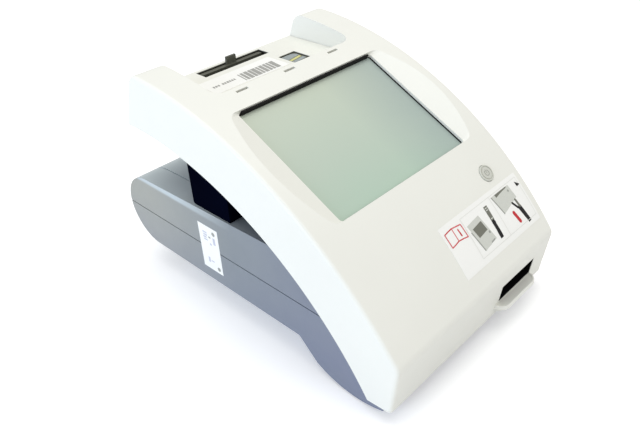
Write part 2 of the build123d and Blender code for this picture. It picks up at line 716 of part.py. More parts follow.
def make_base_lower():
    outside = across(lower_profile(SEAM_Z), BASE_HALF) + keel(KEEL_BOTTOM, BELLY_Z, 0)
    floor_room = keel(FLOOR_Z, BELLY_Z + BASE_WALL, BASE_WALL * sqrt(2))
    inner_half = BASE_HALF - BASE_WALL
    floor_room &= block((-inner_half, inner_half), (KEEL_FRONT_Y - KEEL_BEVEL, TAIL_Y), (0, SEAM_Z))
    base = outside - hollow(lower_profile(SEAM_Z + 4 * BASE_WALL), BASE_WALL) - floor_room
    rib_half = GUIDE_INNER_HALF + GUIDE_WALL
    for y in RIB_Y:
        x_span = (TABLE_X - rib_half, TABLE_X + rib_half)
        y_span = (y - RIB_THICKNESS / 2, y + RIB_THICKNESS / 2)
        base += block(x_span, y_span, (KEEL_BOTTOM, GUIDE_BOTTOM_Z)) & outside
    for x, y in CASE_SCREWS:
        base += rod_z(x, y, KEEL_BOTTOM, SEAM_Z, BOSS_RADIUS)
    base += battery_block(BATTERY_WALL, KEEL_BOTTOM, BATTERY_ROOF_Z + BATTERY_WALL)
    base += hinge_block(HINGE_CHEEK, KEEL_BOTTOM)
    base += block(
        (-PORT_RECESS_X - BASE_WALL, PORT_RECESS_X + BASE_WALL),
        (PORT_WALL_Y - BASE_WALL, PORT_WALL_Y),
        (PORT_RECESS_Z[0] - BASE_WALL, SEAM_Z),
    ) & outside
    base -= battery_block(0, KEEL_BOTTOM, BATTERY_ROOF_Z)
    base -= battery_block(DOOR_LAP + DOOR_GAP, 0, DOOR_TOP_Z)
    base -= hinge_block(0, 0)
    pin_half = HINGE_LENGTH / 2 + HINGE_CHEEK + DOOR_GAP
    base -= door_swing_room(pin_half)
    base -= rod_x(CELL_X - pin_half, CELL_X + pin_half, HINGE_Y, HINGE_Z, HINGE_PIN_RADIUS + PIN_FIT)
    base -= screw_holes(0, SEAM_Z)
    for x, y in CASE_SCREWS:
        base -= rod_z(x, y, 0, KEEL_BOTTOM + SCREW_HEAD_HEIGHT + SEAT_GAP, SCREW_HEAD_RADIUS + SIDE_GAP)
    for x, y in PAD_PLACES:
        base -= rod_z(x, y, 0, pad_top(y), PAD_RADIUS)
    guide_half = rib_half + GUIDE_GAP
    guide_span = (TABLE_X - guide_half, TABLE_X + guide_half)
    front = (BASE_FRONT_Y - BASE_WALL, BASE_FRONT_Y + 2 * BASE_WALL)
    base -= block(guide_span, front, (GUIDE_BOTTOM_Z - GUIDE_GAP, SEAM_Z + BASE_WALL))
    base -= port_cut()
    base -= port_holes()
    return base


def door_swing_room(lug_half):
    """Room the battery door's rear edge turns in, round the two lugs that hold the pin."""
    half = BATTERY_ROOM / 2 + DOOR_LAP + DOOR_GAP
    room = block((CELL_X - half, CELL_X + half), (BATTERY_Y[1], HINGE_Y + DOOR_GAP), (0, DOOR_TOP_Z))
    return room - rod_x(CELL_X - lug_half, CELL_X + lug_half, HINGE_Y, HINGE_Z, HINGE_KNUCKLE_RADIUS - DOOR_GAP)


def port_holes():
    width = SERIAL_WIDTH + 2 * PORT_FIT
    height = SERIAL_HEIGHT + 2 * PORT_FIT
    opening = Pos(SERIAL_X, PORT_WALL_Y, PORT_Z) * Box(width, 4 * BASE_WALL, height)
    socket = rod_y(JACK_X, PORT_WALL_Y - 2 * BASE_WALL, PORT_WALL_Y + BASE_WALL, PORT_Z, JACK_RADIUS + PORT_FIT)
    return [socket, opening]


def pad_top(y):
    return (FOOT_BOTTOM if y < STEP_Y else KEEL_BOTTOM) + PAD_RECESS


def make_base_upper():
    profile = upper_profile(SEAM_Z)
    outside = across(profile, BASE_HALF)
    base = outside - hollow(upper_profile(SEAM_Z - 4 * BASE_WALL), BASE_WALL)
    for x, y in CASE_SCREWS:
        base += rod_z(x, y, SEAM_Z, COVER_HEIGHT, BOSS_RADIUS) & outside
    base -= screw_holes(SEAM_Z, SEAM_Z + SCREW_BITE)
    slab = block((-COVER_WIDTH, COVER_WIDTH), (-COVER_WIDTH, COVER_WIDTH), (SEAM_Z, SEAM_Z + SEAM_GROOVE))
    core = across(offset(upper_profile(SEAM_Z - BASE_WALL), amount=-SEAM_GROOVE), BASE_HALF - SEAM_GROOVE)
    base -= (outside & slab) - core
    groove_core = offset(upper_profile(SEAM_Z - BASE_WALL), amount=-LEDGE_SEAM_DEPTH)
    for side in (-1, 1):
        low = side * LEDGE_SEAM_X - LEDGE_SEAM_WIDTH / 2
        cut = prism(profile, low, low + LEDGE_SEAM_WIDTH) - prism(groove_core, low, low + LEDGE_SEAM_WIDTH)
        base -= cut & block((-COVER_WIDTH, COVER_WIDTH), (NECK_TURN_Y, COVER_WIDTH), (0, COVER_HEIGHT))
    return base


def neck_prism(inset, z_low, z_high):
    front = BASE_HALF - NECK_INSET - inset
    front_y = NECK_FRONT_Y + inset
    rear_y = NECK_REAR_Y - inset
    right = [(front, front_y), (front - NECK_TAPER, NECK_TURN_Y), (NECK_REAR_HALF - inset, rear_y)]
    left = [(-x, y) for x, y in reversed(right)]
    plan = make_face(Polyline(*right, *left, close=True))
    turns = plan.vertices().filter_by_position(Axis.Y, NECK_TURN_Y - NECK_ROUND, COVER_WIDTH)
    plan = fillet(turns, NECK_ROUND - inset)
    return extrude(Pos(0, 0, z_low) * plan, amount=z_high - z_low)


def make_mid_housing():
    """Dark moulding: curved soffit under the band and the hollow neck down to the ledge."""
    middle = SOFFIT_LOW_RADIUS + SOFFIT_THICKNESS / 2
    neck = neck_prism(0, SEAM_Z, COVER_HEIGHT)
    below_middle = rod_x(-COVER_WIDTH, COVER_WIDTH, AXIS.X, AXIS.Y, middle)
    neck &= below_middle
    neck -= across(upper_profile(SEAM_Z - BASE_WALL), BASE_HALF)
    soffit_rear = NECK_REAR_Y + SOFFIT_LIP
    housing = neck + ring_sector(SOFFIT_LOW_RADIUS, SOFFIT_TOP_RADIUS, SOFFIT_FRONT_Y, soffit_rear, BASE_HALF)
    housing -= neck_prism(BASE_WALL, SEAM_Z - BASE_WALL, COVER_HEIGHT)
    for x, y in COVER_BOSSES:
        housing += rod_z(x, y, cover_screw_seat(y), COVER_HEIGHT, SCREW_HEAD_RADIUS + SEAT_WALL) & below_middle
        housing -= rod_z(x, y, SEAM_Z, COVER_HEIGHT, SCREW_RADIUS + SCREW_GAP)
    return housing


def cover_screw_seat(y):
    """Height of the flat seat under the soffit for a cover screw's head."""
    return on_circle(SOFFIT_LOW_RADIUS, y - SCREW_HEAD_RADIUS - SEAT_WALL).Y


def chin_outline(inset, reach, z):
    """Plan of the lip at this height: a bar with rounded front corners, run into the cover."""
    face_y = TOE.X - (z - TOE.Y) * tan(radians(FRONT_LEAN))
    rear_y = face_y + 3 * COVER_WALL
    front_y = face_y - reach + inset
    low_x = CHIN_SPAN[0] + inset
    high_x = CHIN_SPAN[1] - inset
    middle = ((low_x + high_x) / 2, (front_y + rear_y) / 2)
    plan = Pos(*middle) * Rectangle(high_x - low_x, rear_y - front_y)
    corners = plan.vertices().sort_by(Axis.Y)[:2]
    return Pos(0, 0, z) * fillet(corners, CHIN_CORNER - inset)


def make_chin():
    """Lip on the front face below the test table's mouth, thin at its edge, with a low rim."""
    edge_z = CHIN_TOP_Z - CHIN_EDGE
    foot = chin_outline(CHIN_RIM, CHIN_REACH - CHIN_DRAFT, CHIN_BOTTOM_Z)
    edge = chin_outline(0, CHIN_REACH, edge_z)
    lip = loft([foot, edge]) + loft([edge, chin_outline(CHIN_SLANT, CHIN_REACH, CHIN_TOP_Z)])
    lip -= extrude(chin_outline(CHIN_SLANT + CHIN_RIM, CHIN_REACH, CHIN_TOP_Z - CHIN_SCOOP), amount=CHIN_EDGE)
    lip -= across(arch_profile(0, BAND_RADIUS - HOLLOW_DEPTH, HOLLOW_LOW_Z), COVER_WIDTH / 2)
    return lip.solids().sort_by(Axis.Y)[0]


# ---- Screen stack ----
def make_gasket():
    """Black frame on the touch panel, with a raised lip along the window's upper edge."""
    gasket = screen_box(*panel_size(), TOUCH_TOP, GASKET_TOP)
    sight = Box(WINDOW_WIDTH - 2 * GASKET_SHOW, WINDOW_LENGTH - 2 * GASKET_SHOW, 4 * GASKET_THICKNESS)
    gasket -= radial_plane(TOUCH_TOP, SCREEN_TILT) * sight
    lip_width = WINDOW_WIDTH - 2 * WINDOW_CORNER
    lip_height = RIM_DISTANCE + GASKET_LIP_RISE - TOUCH_TOP
    lip = Box(lip_width, GASKET_LIP, lip_height, align=(Align.CENTER, Align.MAX, Align.MIN))
    return gasket + radial_plane(TOUCH_TOP, SCREEN_TILT) * Pos(0, WINDOW_LENGTH / 2 - GASKET_FIT, 0) * lip


def panel_size():
    return WINDOW_WIDTH + 2 * GASKET_LAND, WINDOW_LENGTH + 2 * GASKET_LAND


def make_lcd():
    width, length = panel_size()
    lcd = screen_box(width, length, LCD_TOP - LCD_THICKNESS, LCD_TOP)
    for x in (-1, 1):
        for v in (-1, 1):
            place = Pos(x * (width / 2 - LCD_LEG_WIDTH), v * (length / 2 - 2 * LCD_LEG_WIDTH), 0)
            leg = Box(LCD_LEG_WIDTH, LCD_LEG_WIDTH, LCD_LEG, align=(Align.CENTER, Align.CENTER, Align.MIN))
            lcd += radial_plane(BOARD_TOP, SCREEN_TILT) * place * leg
    return lcd


def make_main_board():
    board = screen_box(BOARD_WIDTH, BOARD_LENGTH, BOARD_TOP - BOARD_THICKNESS, BOARD_TOP)
    for x, v in BOARD_CORNERS:
        low = BOARD_TOP - BOARD_THICKNESS
        board -= screen_rod(x, v, low, BOARD_TOP, SCREW_RADIUS + SCREW_GAP)
    return board


def make_board_chips():
    plane = radial_plane(BOARD_TOP - BOARD_THICKNESS, SCREEN_TILT)
    chips = []
    for (x, v), size in zip(CHIP_PLACES, CHIP_SIZES):
        chips.append(plane * Pos(x, v, 0) * Box(*size, align=(Align.CENTER, Align.CENTER, Align.MAX)))
    return Compound(children=chips)


def make_board_screws():
    low = BOARD_TOP - BOARD_THICKNESS
    screws = []
    for x, v in BOARD_CORNERS:
        head = screen_rod(x, v, low - SCREW_HEAD_HEIGHT, low, SCREW_HEAD_RADIUS)
        screws.append(head + screen_rod(x, v, low, BOARD_TOP + BOARD_SCREW_BITE, SCREW_RADIUS))
    return Compound(children=screws)


# ---- Power button ----
def button_rod(low, high, radius):
    rod = Cylinder(radius, high - low, align=(Align.CENTER, Align.CENTER, Align.MIN))
    return radial_plane(low, BUTTON_ANGLE, BUTTON_X) * rod


def make_button():
    flange_top = CROWN_RADIUS - COVER_WALL - BUTTON_SEAT_GAP
    flange_low = flange_top - BUTTON_FLANGE_HEIGHT
    top = CROWN_RADIUS + BUTTON_PROUD
    cap = button_rod(flange_top, top, BUTTON_RADIUS)
    cap = fillet(cap.edges().filter_by(GeomType.CIRCLE).sort_by(Axis.Z)[-1], BUTTON_PROUD / 2)
    ring = button_rod(top - BUTTON_RING_DEPTH, top, BUTTON_RING[1])
    cap -= ring - button_rod(top - BUTTON_RING_DEPTH, top, BUTTON_RING[0])
    stem_low = BUTTON_BOARD_TOP + SWITCH_HEIGHT + BUTTON_TRAVEL + BUTTON_END_GAP
    button = cap + button_rod(flange_low, flange_top, BUTTON_RADIUS + BUTTON_FLANGE)
    return button + button_rod(stem_low, flange_low, BUTTON_STEM_RADIUS)


def make_button_board():
    plane = radial_plane(BUTTON_BOARD_TOP, BUTTON_ANGLE, BUTTON_X)
    size = (BUTTON_BOARD_WIDTH, BUTTON_BOARD_LENGTH, BOARD_THICKNESS)
    return plane * Box(*size, align=(Align.CENTER, Align.CENTER, Align.MAX))


def make_button_switch():
    plane = radial_plane(BUTTON_BOARD_TOP, BUTTON_ANGLE, BUTTON_X)
    return plane * Box(SWITCH_SIZE, SWITCH_SIZE, SWITCH_HEIGHT, align=(Align.CENTER, Align.CENTER, Align.MIN))


def make_button_spring():
    """Coil round the stem, drawn at its pressed length."""
    flange_low = CROWN_RADIUS - COVER_WALL - BUTTON_SEAT_GAP - BUTTON_FLANGE_HEIGHT
    height = flange_low - BUTTON_BOARD_TOP - BUTTON_TRAVEL - 2 * SPRING_WIRE
    path = Helix(height / SPRING_TURNS, height, SPRING_RADIUS)
    start = path @ 0
    section = Plane(origin=start, z_dir=path % 0) * Circle(SPRING_WIRE / 2)
    coil = sweep(section, path=path)
    return radial_plane(BUTTON_BOARD_TOP + SPRING_WIRE / 2, BUTTON_ANGLE, BUTTON_X) * coil


# ---- Printer bay and printer ----
def card_block(margin, z_low, z_high):
    half_x = CARD_WIDTH / 2 + margin
    half_y = CARD_LENGTH / 2 + margin
    return block((CARD_X - half_x, CARD_X + half_x), (CARD_Y - half_y, CARD_Y + half_y), (z_low, z_high))


def make_bay_tray():
    outside = across(arch_profile(0, BAND_RADIUS, TOE.Y), COVER_WIDTH / 2)
    slab = block((-COVER_WIDTH, COVER_WIDTH), (0, COVER_WIDTH), (TRAY_BOTTOM_Z, BAY_FLOOR_Z))
    tray = bay_cut(-TRAY_GAP, TRAY_BOTTOM_Z) & slab & outside
    tray -= block(SLOT_X, SLOT_Y, (TRAY_BOTTOM_Z, BAY_FLOOR_Z))
    return tray - card_block(CARD_GAP, TRAY_BOTTOM_Z, BAY_FLOOR_Z)


def make_card_socket():
    return card_block(CARD_GAP + SOCKET_RIM, TRAY_BOTTOM_Z - SOCKET_DEPTH, TRAY_BOTTOM_Z)


def make_card_contacts():
    return card_block(-CONTACT_INSET, TRAY_BOTTOM_Z, TRAY_BOTTOM_Z + CONTACT_THICKNESS)


def make_memory_card():
    low = TRAY_BOTTOM_Z + CONTACT_THICKNESS
    card = card_block(0, low, low + CARD_THICKNESS)
    notch = card.edges().filter_by(Axis.Z).group_by(Axis.Y)[-1].sort_by(Axis.X)[0]
    return chamfer(notch, CARD_NOTCH)


def make_printer_chassis():
    """Cheeks either side of the paper, the trough below the roll and the motor's bracket."""
    low_z = ROLL_Z - ROLL_RADIUS - ROLL_GAP - TROUGH_WALL
    chassis = []
    for x in (CHEEK_LEFT_X - CHEEK_THICKNESS, CHEEK_RIGHT_X):
        span = (x, x + CHEEK_THICKNESS)
        cheek = block(span, (CHEEK_FRONT_Y, CHEEK_STEP_Y), (low_z, CHEEK_STEP_Z))
        chassis.append(cheek + block(span, (CHEEK_STEP_Y, CHEEK_REAR_Y), (CHEEK_BACK_LOW_Z, TRAY_BOTTOM_Z)))
    outer = ROLL_RADIUS + ROLL_GAP + TROUGH_WALL
    trough = rod_x(CHEEK_LEFT_X, CHEEK_RIGHT_X, ROLL_Y, ROLL_Z, outer)
    trough -= rod_x(CHEEK_LEFT_X, CHEEK_RIGHT_X, ROLL_Y, ROLL_Z, outer - TROUGH_WALL)
    trough_top = ROLL_Z - 2 * TROUGH_WALL
    low_half = block((CHEEK_LEFT_X, CHEEK_RIGHT_X), (CHEEK_FRONT_Y, CHEEK_STEP_Y), (low_z, trough_top))
    bar_y = (HEAD_BACK_Y - HEAD_BAR_THICKNESS, HEAD_BACK_Y)
    bar_z = (PLATEN_Z - HEAD_BAR_HEIGHT, PLATEN_Z)
    result = chassis[0] + chassis[1] + (trough & low_half)
    result += block((CHEEK_LEFT_X, CHEEK_RIGHT_X), bar_y, bar_z)
    plate = (BRACKET_X, BRACKET_X + BRACKET_THICKNESS)
    hanger_y = (PLATEN_Y - BRACKET_HANGER / 2, PLATEN_Y + BRACKET_HANGER / 2)
    motor_z = (MOTOR_Z - BRACKET_HALF, MOTOR_Z + BRACKET_HALF)
    result += block(plate, hanger_y, (motor_z[0], TRAY_BOTTOM_Z))
    result += block(plate, (MOTOR_Y - BRACKET_HALF, MOTOR_Y + BRACKET_HALF), motor_z)
    result += block((CHEEK_RIGHT_X, plate[1]), hanger_y, (TRAY_BOTTOM_Z - TROUGH_WALL, TRAY_BOTTOM_Z))
    bore_x = (CHEEK_LEFT_X - CHEEK_THICKNESS, BRACKET_X)
    bores = rod_x(*bore_x, PLATEN_Y, PLATEN_Z, PLATEN_SHAFT_RADIUS + RUNNING_GAP)
    bores += rod_x(*bore_x, LEVER_PIVOT_Y, LEVER_PIVOT_Z, LEVER_PIN_RADIUS + RUNNING_GAP)
    return result - bores - rod_x(*plate, MOTOR_Y, MOTOR_Z, MOTOR_TEETH * PRINT_MODULE / 3)


def make_print_head():
    z_span = (PLATEN_Z - HEAD_HEIGHT / 2, PLATEN_Z + HEAD_HEIGHT / 2)
    half = ROLL_WIDTH / 2
    return block((ROLL_X - half, ROLL_X + half), (HEAD_BACK_Y, HEAD_BACK_Y + HEAD_SINK), z_span)


def make_head_strip():
    z_span = (PLATEN_Z - HEAD_HEIGHT / 3, PLATEN_Z + HEAD_HEIGHT / 3)
    half = PLATEN_LENGTH / 2
    return block((ROLL_X - half, ROLL_X + half), (HEAD_FRONT_Y - HEAD_CERAMIC, HEAD_FRONT_Y), z_span)


def make_platen_shaft():
    x_span = (CHEEK_LEFT_X - CHEEK_THICKNESS - PLATEN_END, BRACKET_X - HEAD_GAP)
    return rod_x(*x_span, PLATEN_Y, PLATEN_Z, PLATEN_SHAFT_RADIUS)


def make_platen_roller():
    half = PLATEN_LENGTH / 2
    roller = rod_x(ROLL_X - half, ROLL_X + half, PLATEN_Y, PLATEN_Z, PLATEN_RADIUS)
    return roller - rod_x(ROLL_X - half, ROLL_X + half, PLATEN_Y, PLATEN_Z, PLATEN_SHAFT_RADIUS)


def print_gear(teeth, y, z, bore, turn):
    """Spur gear about an X axis; turn sets where its first tooth points in the side view."""
    face = Rot(0, 0, turn) * gear_face(teeth, PRINT_MODULE, GEAR_BACKLASH)
    gear = prism(Pos(y, z, 0) * (face - Circle(bore)), GEAR_X, GEAR_X + GEAR_WIDTH)
    return gear


def make_platen_gear():
    toward_motor = 180 + MOTOR_DROP_ANGLE
    return print_gear(PLATEN_TEETH, PLATEN_Y, PLATEN_Z, PLATEN_SHAFT_RADIUS, toward_motor)


def make_motor_gear():
    half_pitch = 180 / MOTOR_TEETH
    gear = print_gear(MOTOR_TEETH, MOTOR_Y, MOTOR_Z, PLATEN_SHAFT_RADIUS / 2, MOTOR_DROP_ANGLE + half_pitch)
    length_end = BRACKET_X + BRACKET_THICKNESS + PRINT_MOTOR_LENGTH / 2
    return gear + rod_x(GEAR_X, length_end, MOTOR_Y, MOTOR_Z, PLATEN_SHAFT_RADIUS / 2)


def make_printer_motor():
    low = BRACKET_X + BRACKET_THICKNESS
    motor = rod_x(low, low + PRINT_MOTOR_LENGTH, MOTOR_Y, MOTOR_Z, PRINT_MOTOR_RADIUS)
    bore = PLATEN_SHAFT_RADIUS / 2 + RUNNING_GAP
    return motor - rod_x(low, low + PRINT_MOTOR_LENGTH / 2 + SHAFT_END_GAP, MOTOR_Y, MOTOR_Z, bore)


def make_paper_roll():
    half = ROLL_WIDTH / 2
    roll = rod_x(ROLL_X - half, ROLL_X + half, ROLL_Y, ROLL_Z, ROLL_RADIUS)
    return roll - rod_x(ROLL_X - half, ROLL_X + half, ROLL_Y, ROLL_Z, ROLL_CORE_RADIUS)


def make_roll_core():
    half = ROLL_WIDTH / 2
    core = rod_x(ROLL_X - half, ROLL_X + half, ROLL_Y, ROLL_Z, ROLL_CORE_RADIUS)
    return core - rod_x(ROLL_X - half, ROLL_X + half, ROLL_Y, ROLL_Z, ROLL_CORE_RADIUS - ROLL_CORE_WALL)


def make_release_lever():
    """Paper arm across the slot: bar, two side arms on pivot pins, and a finger tab."""
    half = PLATEN_LENGTH / 2 + LEVER_SIDE_GAP + LEVER_ARM_WIDTH
    left = ROLL_X - half
    right = ROLL_X + half
    lever = block((left, right), LEVER_BAR_Y, LEVER_BAR_Z)
    for x, outward in ((left, CHEEK_LEFT_X - CHEEK_THICKNESS), (right, CHEEK_RIGHT_X + CHEEK_THICKNESS)):
        inner = x + LEVER_ARM_WIDTH if x < ROLL_X else x - LEVER_ARM_WIDTH
        lever += block((x, inner), LEVER_BAR_Y, (LEVER_PIVOT_Z, LEVER_BAR_Z[1]))
        lever += rod_x(min(x, inner), max(x, inner), LEVER_PIVOT_Y, LEVER_PIVOT_Z, 1.5 * LEVER_PIN_RADIUS)
        lever += rod_x(min(outward, inner), max(outward, inner), LEVER_PIVOT_Y, LEVER_PIVOT_Z, LEVER_PIN_RADIUS)
    tab_x = (LEVER_TAB_X - LEVER_TAB_WIDTH / 2, LEVER_TAB_X + LEVER_TAB_WIDTH / 2)
    middle = sum(LEVER_BAR_Y) / 2
    lever += block(tab_x, (middle, LEVER_BAR_Y[1]), (LEVER_BAR_Z[0], LEVER_BAR_Z[1] + LEVER_TAB_HEIGHT))
    return lever


# ---- Test table ----
def rack_gap():
    """One gap between rack teeth, seen from above, opening towards -X."""
    half = (pi * RACK_MODULE + RACK_BACKLASH) / 4
    slope = tan(radians(20))
    pitch_x = TABLE_LEFT_X + RACK_MODULE
    outlet = 1.2 * RACK_MODULE
    depth = 1.15 * RACK_MODULE
    mouth = half + slope * outlet
    root = half - slope * depth
    left = pitch_x - outlet
    right = pitch_x + depth
    return make_face(Polyline((left, -mouth), (right, -root), (right, root), (left, mouth), close=True))


def insert_block(margin, z_low, z_high):
    half = INSERT_WIDTH / 2 + margin
    rear = TABLE_FRONT_Y + INSERT_LENGTH + margin
    return block((TABLE_X - half, TABLE_X + half), (TABLE_FRONT_Y, rear), (z_low, z_high))


def make_test_table():
    half = TABLE_WIDTH / 2
    y_span = (TABLE_FRONT_Y, TABLE_FRONT_Y + TABLE_LENGTH)
    table = block((TABLE_X - half, TABLE_X + half), y_span, (TABLE_BOTTOM_Z, TABLE_TOP_Z))
    table = fillet(table.edges().filter_by(Axis.Z).sort_by(Axis.Y)[:2], TABLE_CORNER)
    table -= insert_block(INSERT_GAP, TABLE_TOP_Z - INSERT_DEPTH, TABLE_TOP_Z)
    gap_count = int(TABLE_TRAVEL / (pi * RACK_MODULE)) + 4
    band = PINION_WIDTH + RACK_MODULE
    for index in range(gap_count):
        y = PINION_Y + (index - 1) * pi * RACK_MODULE
        table -= extrude(Pos(0, y, PINION_Z - band / 2) * rack_gap(), amount=band)
    return table


def make_table_insert():
    low = TABLE_TOP_Z - INSERT_DEPTH
    insert = insert_block(0, low, TABLE_TOP_Z + INSERT_PROUD)
    insert = fillet(insert.edges().filter_by(Axis.Z).sort_by(Axis.Y)[:2], TABLE_CORNER / 4)
    top = TABLE_TOP_Z + INSERT_PROUD
    half = CHANNEL_WIDTH / 2
    channel_rear = TABLE_FRONT_Y + INSERT_LENGTH - 2 * CHANNEL_WIDTH
    y_span = (TABLE_FRONT_Y, channel_rear)
    return insert - block((TABLE_X - half, TABLE_X + half), y_span, (top - CHANNEL_DEPTH, top))


def make_calibration_bar():
    rear = TABLE_FRONT_Y + TABLE_LENGTH - CALIBRATION_LENGTH / 2
    half = INSERT_WIDTH / 2 - CALIBRATION_HEIGHT
    y_span = (rear - CALIBRATION_LENGTH, rear)
    return block((TABLE_X - half, TABLE_X + half), y_span, (TABLE_TOP_Z, TABLE_TOP_Z + CALIBRATION_HEIGHT))


def make_table_pinion():
    face = gear_face(PINION_TEETH, RACK_MODULE, RACK_BACKLASH)
    low = PINION_Z - PINION_WIDTH / 2
    gear = extrude(Pos(PINION_X, PINION_Y, low) * face, amount=PINION_WIDTH)
    return gear + rod_z(PINION_X, PINION_Y, GUIDE_BOTTOM_Z - TABLE_MOTOR_HEIGHT / 2, low, TABLE_SHAFT_RADIUS)


def make_table_motor():
    low = GUIDE_BOTTOM_Z - TABLE_MOTOR_HEIGHT
    motor = rod_z(PINION_X, PINION_Y, low, GUIDE_BOTTOM_Z, TABLE_MOTOR_RADIUS)
    bore = TABLE_SHAFT_RADIUS + RUNNING_GAP
    return motor - rod_z(PINION_X, PINION_Y, low + TABLE_MOTOR_HEIGHT / 2 - SHAFT_END_GAP, GUIDE_BOTTOM_Z, bore)


def make_table_guide():
    """Channel the table slides in: floor, walls, a roof behind the mouth, a motor plate."""
    outer = GUIDE_INNER_HALF + GUIDE_WALL
    x_span = (TABLE_X - outer, TABLE_X + outer)
    guide = block(x_span, (GUIDE_FRONT_Y, GUIDE_REAR_Y), (GUIDE_BOTTOM_Z, GUIDE_TOP_Z))
    inner_span = (TABLE_X - GUIDE_INNER_HALF, TABLE_X + GUIDE_INNER_HALF)
    guide -= block(inner_span, (GUIDE_FRONT_Y, GUIDE_REAR_Y), (GUIDE_FLOOR_Z, GUIDE_TOP_Z))
    guide += block(x_span, (GUIDE_FRONT_Y, GUIDE_ROOF_REAR_Y), (GUIDE_TOP_Z, GUIDE_TOP_Z + GUIDE_WALL))
    guide += mouth_frame(x_span)
    reach = TABLE_MOTOR_RADIUS + MOTOR_PLATE_EDGE
    plate_x = (PINION_X - reach, x_span[0] + GUIDE_WALL)
    guide += block(plate_x, (PINION_Y - reach, PINION_Y + reach), (GUIDE_BOTTOM_Z, GUIDE_FLOOR_Z))
    swing = PINION_TEETH * RACK_MODULE / 2 + 2 * RACK_MODULE
    window_y = (PINION_Y - swing, PINION_Y + swing)
    guide -= block((PINION_X, inner_span[0]), window_y, (GUIDE_FLOOR_Z, TABLE_TOP_Z))
    guide -= rod_z(PINION_X, PINION_Y, GUIDE_BOTTOM_Z, GUIDE_FLOOR_Z, 2 * TABLE_SHAFT_RADIUS)
    return guide + make_mouth_liner()


def mouth_frame(x_span):
    """Wall behind the cover that closes the guide's front down to the mouth's size."""
    y_span = (GUIDE_FRONT_Y, GUIDE_FRONT_Y + GUIDE_WALL)
    frame = block(x_span, y_span, (GUIDE_FLOOR_Z, GUIDE_TOP_Z + GUIDE_WALL))
    return frame - mouth_block(LINER_FIT + LINER_WALL, GUIDE_FLOOR_Z, GUIDE_FRONT_Y + 2 * GUIDE_WALL)


def make_mouth_liner():
    """Front of the guide, carried through the cover's wall round the mouth."""
    liner = mouth_block(LINER_FIT, MOUTH_BOTTOM_Z + LINER_FIT, GUIDE_FRONT_Y + GUIDE_WALL)
    liner &= across(arch_profile(-LINER_SET, BAND_RADIUS - HOLLOW_DEPTH, HOLLOW_LOW_Z), COVER_WIDTH / 2)
    return liner - mouth_block(LINER_FIT + LINER_WALL, GUIDE_FLOOR_Z, GUIDE_FRONT_Y + 2 * GUIDE_WALL)


# ---- Read head ----
def make_optics_housing():
    outer = GUIDE_INNER_HALF + GUIDE_WALL
    x_span = (TABLE_X - outer, TABLE_X + outer)
    housing = block(x_span, OPTICS_Y, (GUIDE_TOP_Z, OPTICS_TOP_Z))
    inner_y = (OPTICS_Y[0] + OPTICS_WALL, OPTICS_Y[1] - OPTICS_WALL)
    inner_x = (x_span[0] + OPTICS_WALL, x_span[1] - OPTICS_WALL)
    housing -= block(inner_x, inner_y, (GUIDE_TOP_Z + OPTICS_WALL, OPTICS_TOP_Z))
    return housing - rod_z(TABLE_X, OPTICS_MIDDLE_Y, GUIDE_TOP_Z, OPTICS_TOP_Z, LENS_RADIUS)


def make_read_lens():
    radius = LENS_RADIUS - LENS_GAP / 2
    lens = rod_z(TABLE_X, OPTICS_MIDDLE_Y, GUIDE_TOP_Z, GUIDE_TOP_Z + LENS_HEIGHT, radius)
    collar = GUIDE_TOP_Z + OPTICS_WALL
    return lens + rod_z(TABLE_X, OPTICS_MIDDLE_Y, collar, GUIDE_TOP_Z + LENS_HEIGHT, LENS_RADIUS + LENS_LIP)


def make_read_board():
    outer = GUIDE_INNER_HALF + GUIDE_WALL
    x_span = (TABLE_X - outer, TABLE_X + outer)
    return block(x_span, OPTICS_Y, (OPTICS_TOP_Z, OPTICS_TOP_Z + BOARD_THICKNESS))


def make_lamp_block():
    place = Pos(TABLE_X, OPTICS_MIDDLE_Y, OPTICS_TOP_Z)
    return place * Box(*LED_BLOCK, align=(Align.CENTER, Align.CENTER, Align.MAX))


# ---- Batteries, ports, feet, screws, labels ----
def cell_columns():
    middle = (CELL_COLUMNS - 1) / 2
    return [CELL_X + (column - middle) * CELL_PITCH for column in range(CELL_COLUMNS)]


def cell_z():
    return DOOR_TOP_Z + CELL_RADIUS + CELL_LIFT


def make_battery_cells():
    cells = []
    for x in cell_columns():
        for row in range(CELL_ROWS):
            start = BATTERY_Y[0] + CELL_END_ROOM + row * (CELL_LENGTH + CELL_NUB / 2)
            can = rod_y(x, start, start + CELL_LENGTH - CELL_NUB, cell_z(), CELL_RADIUS)
            cells.append(can + rod_y(x, start, start + CELL_LENGTH, cell_z(), CELL_NUB_RADIUS))
    return Compound(children=cells)


def make_battery_contacts():
    cells_end = BATTERY_Y[0] + CELL_END_ROOM + CELL_ROWS * CELL_LENGTH + (CELL_ROWS - 1) * CELL_NUB / 2
    half = CELL_COLUMNS * CELL_PITCH / 2 - CELL_LIFT
    x_span = (CELL_X - half, CELL_X + half)
    z_span = (cell_z() - CELL_RADIUS, cell_z() + CELL_RADIUS)
    front = block(x_span, (BATTERY_Y[0], BATTERY_Y[0] + CONTACT_PLATE), z_span)
    rear = block(x_span, (BATTERY_Y[1] - CONTACT_PLATE, BATTERY_Y[1]), z_span)
    for x in cell_columns():
        front += rod_y(x, BATTERY_Y[0], BATTERY_Y[0] + CELL_END_ROOM, cell_z(), CONTACT_BOSS_RADIUS)
        rear += rod_y(x, cells_end, BATTERY_Y[1], cell_z(), CONTACT_BOSS_RADIUS)
    return Compound(children=[front, rear])


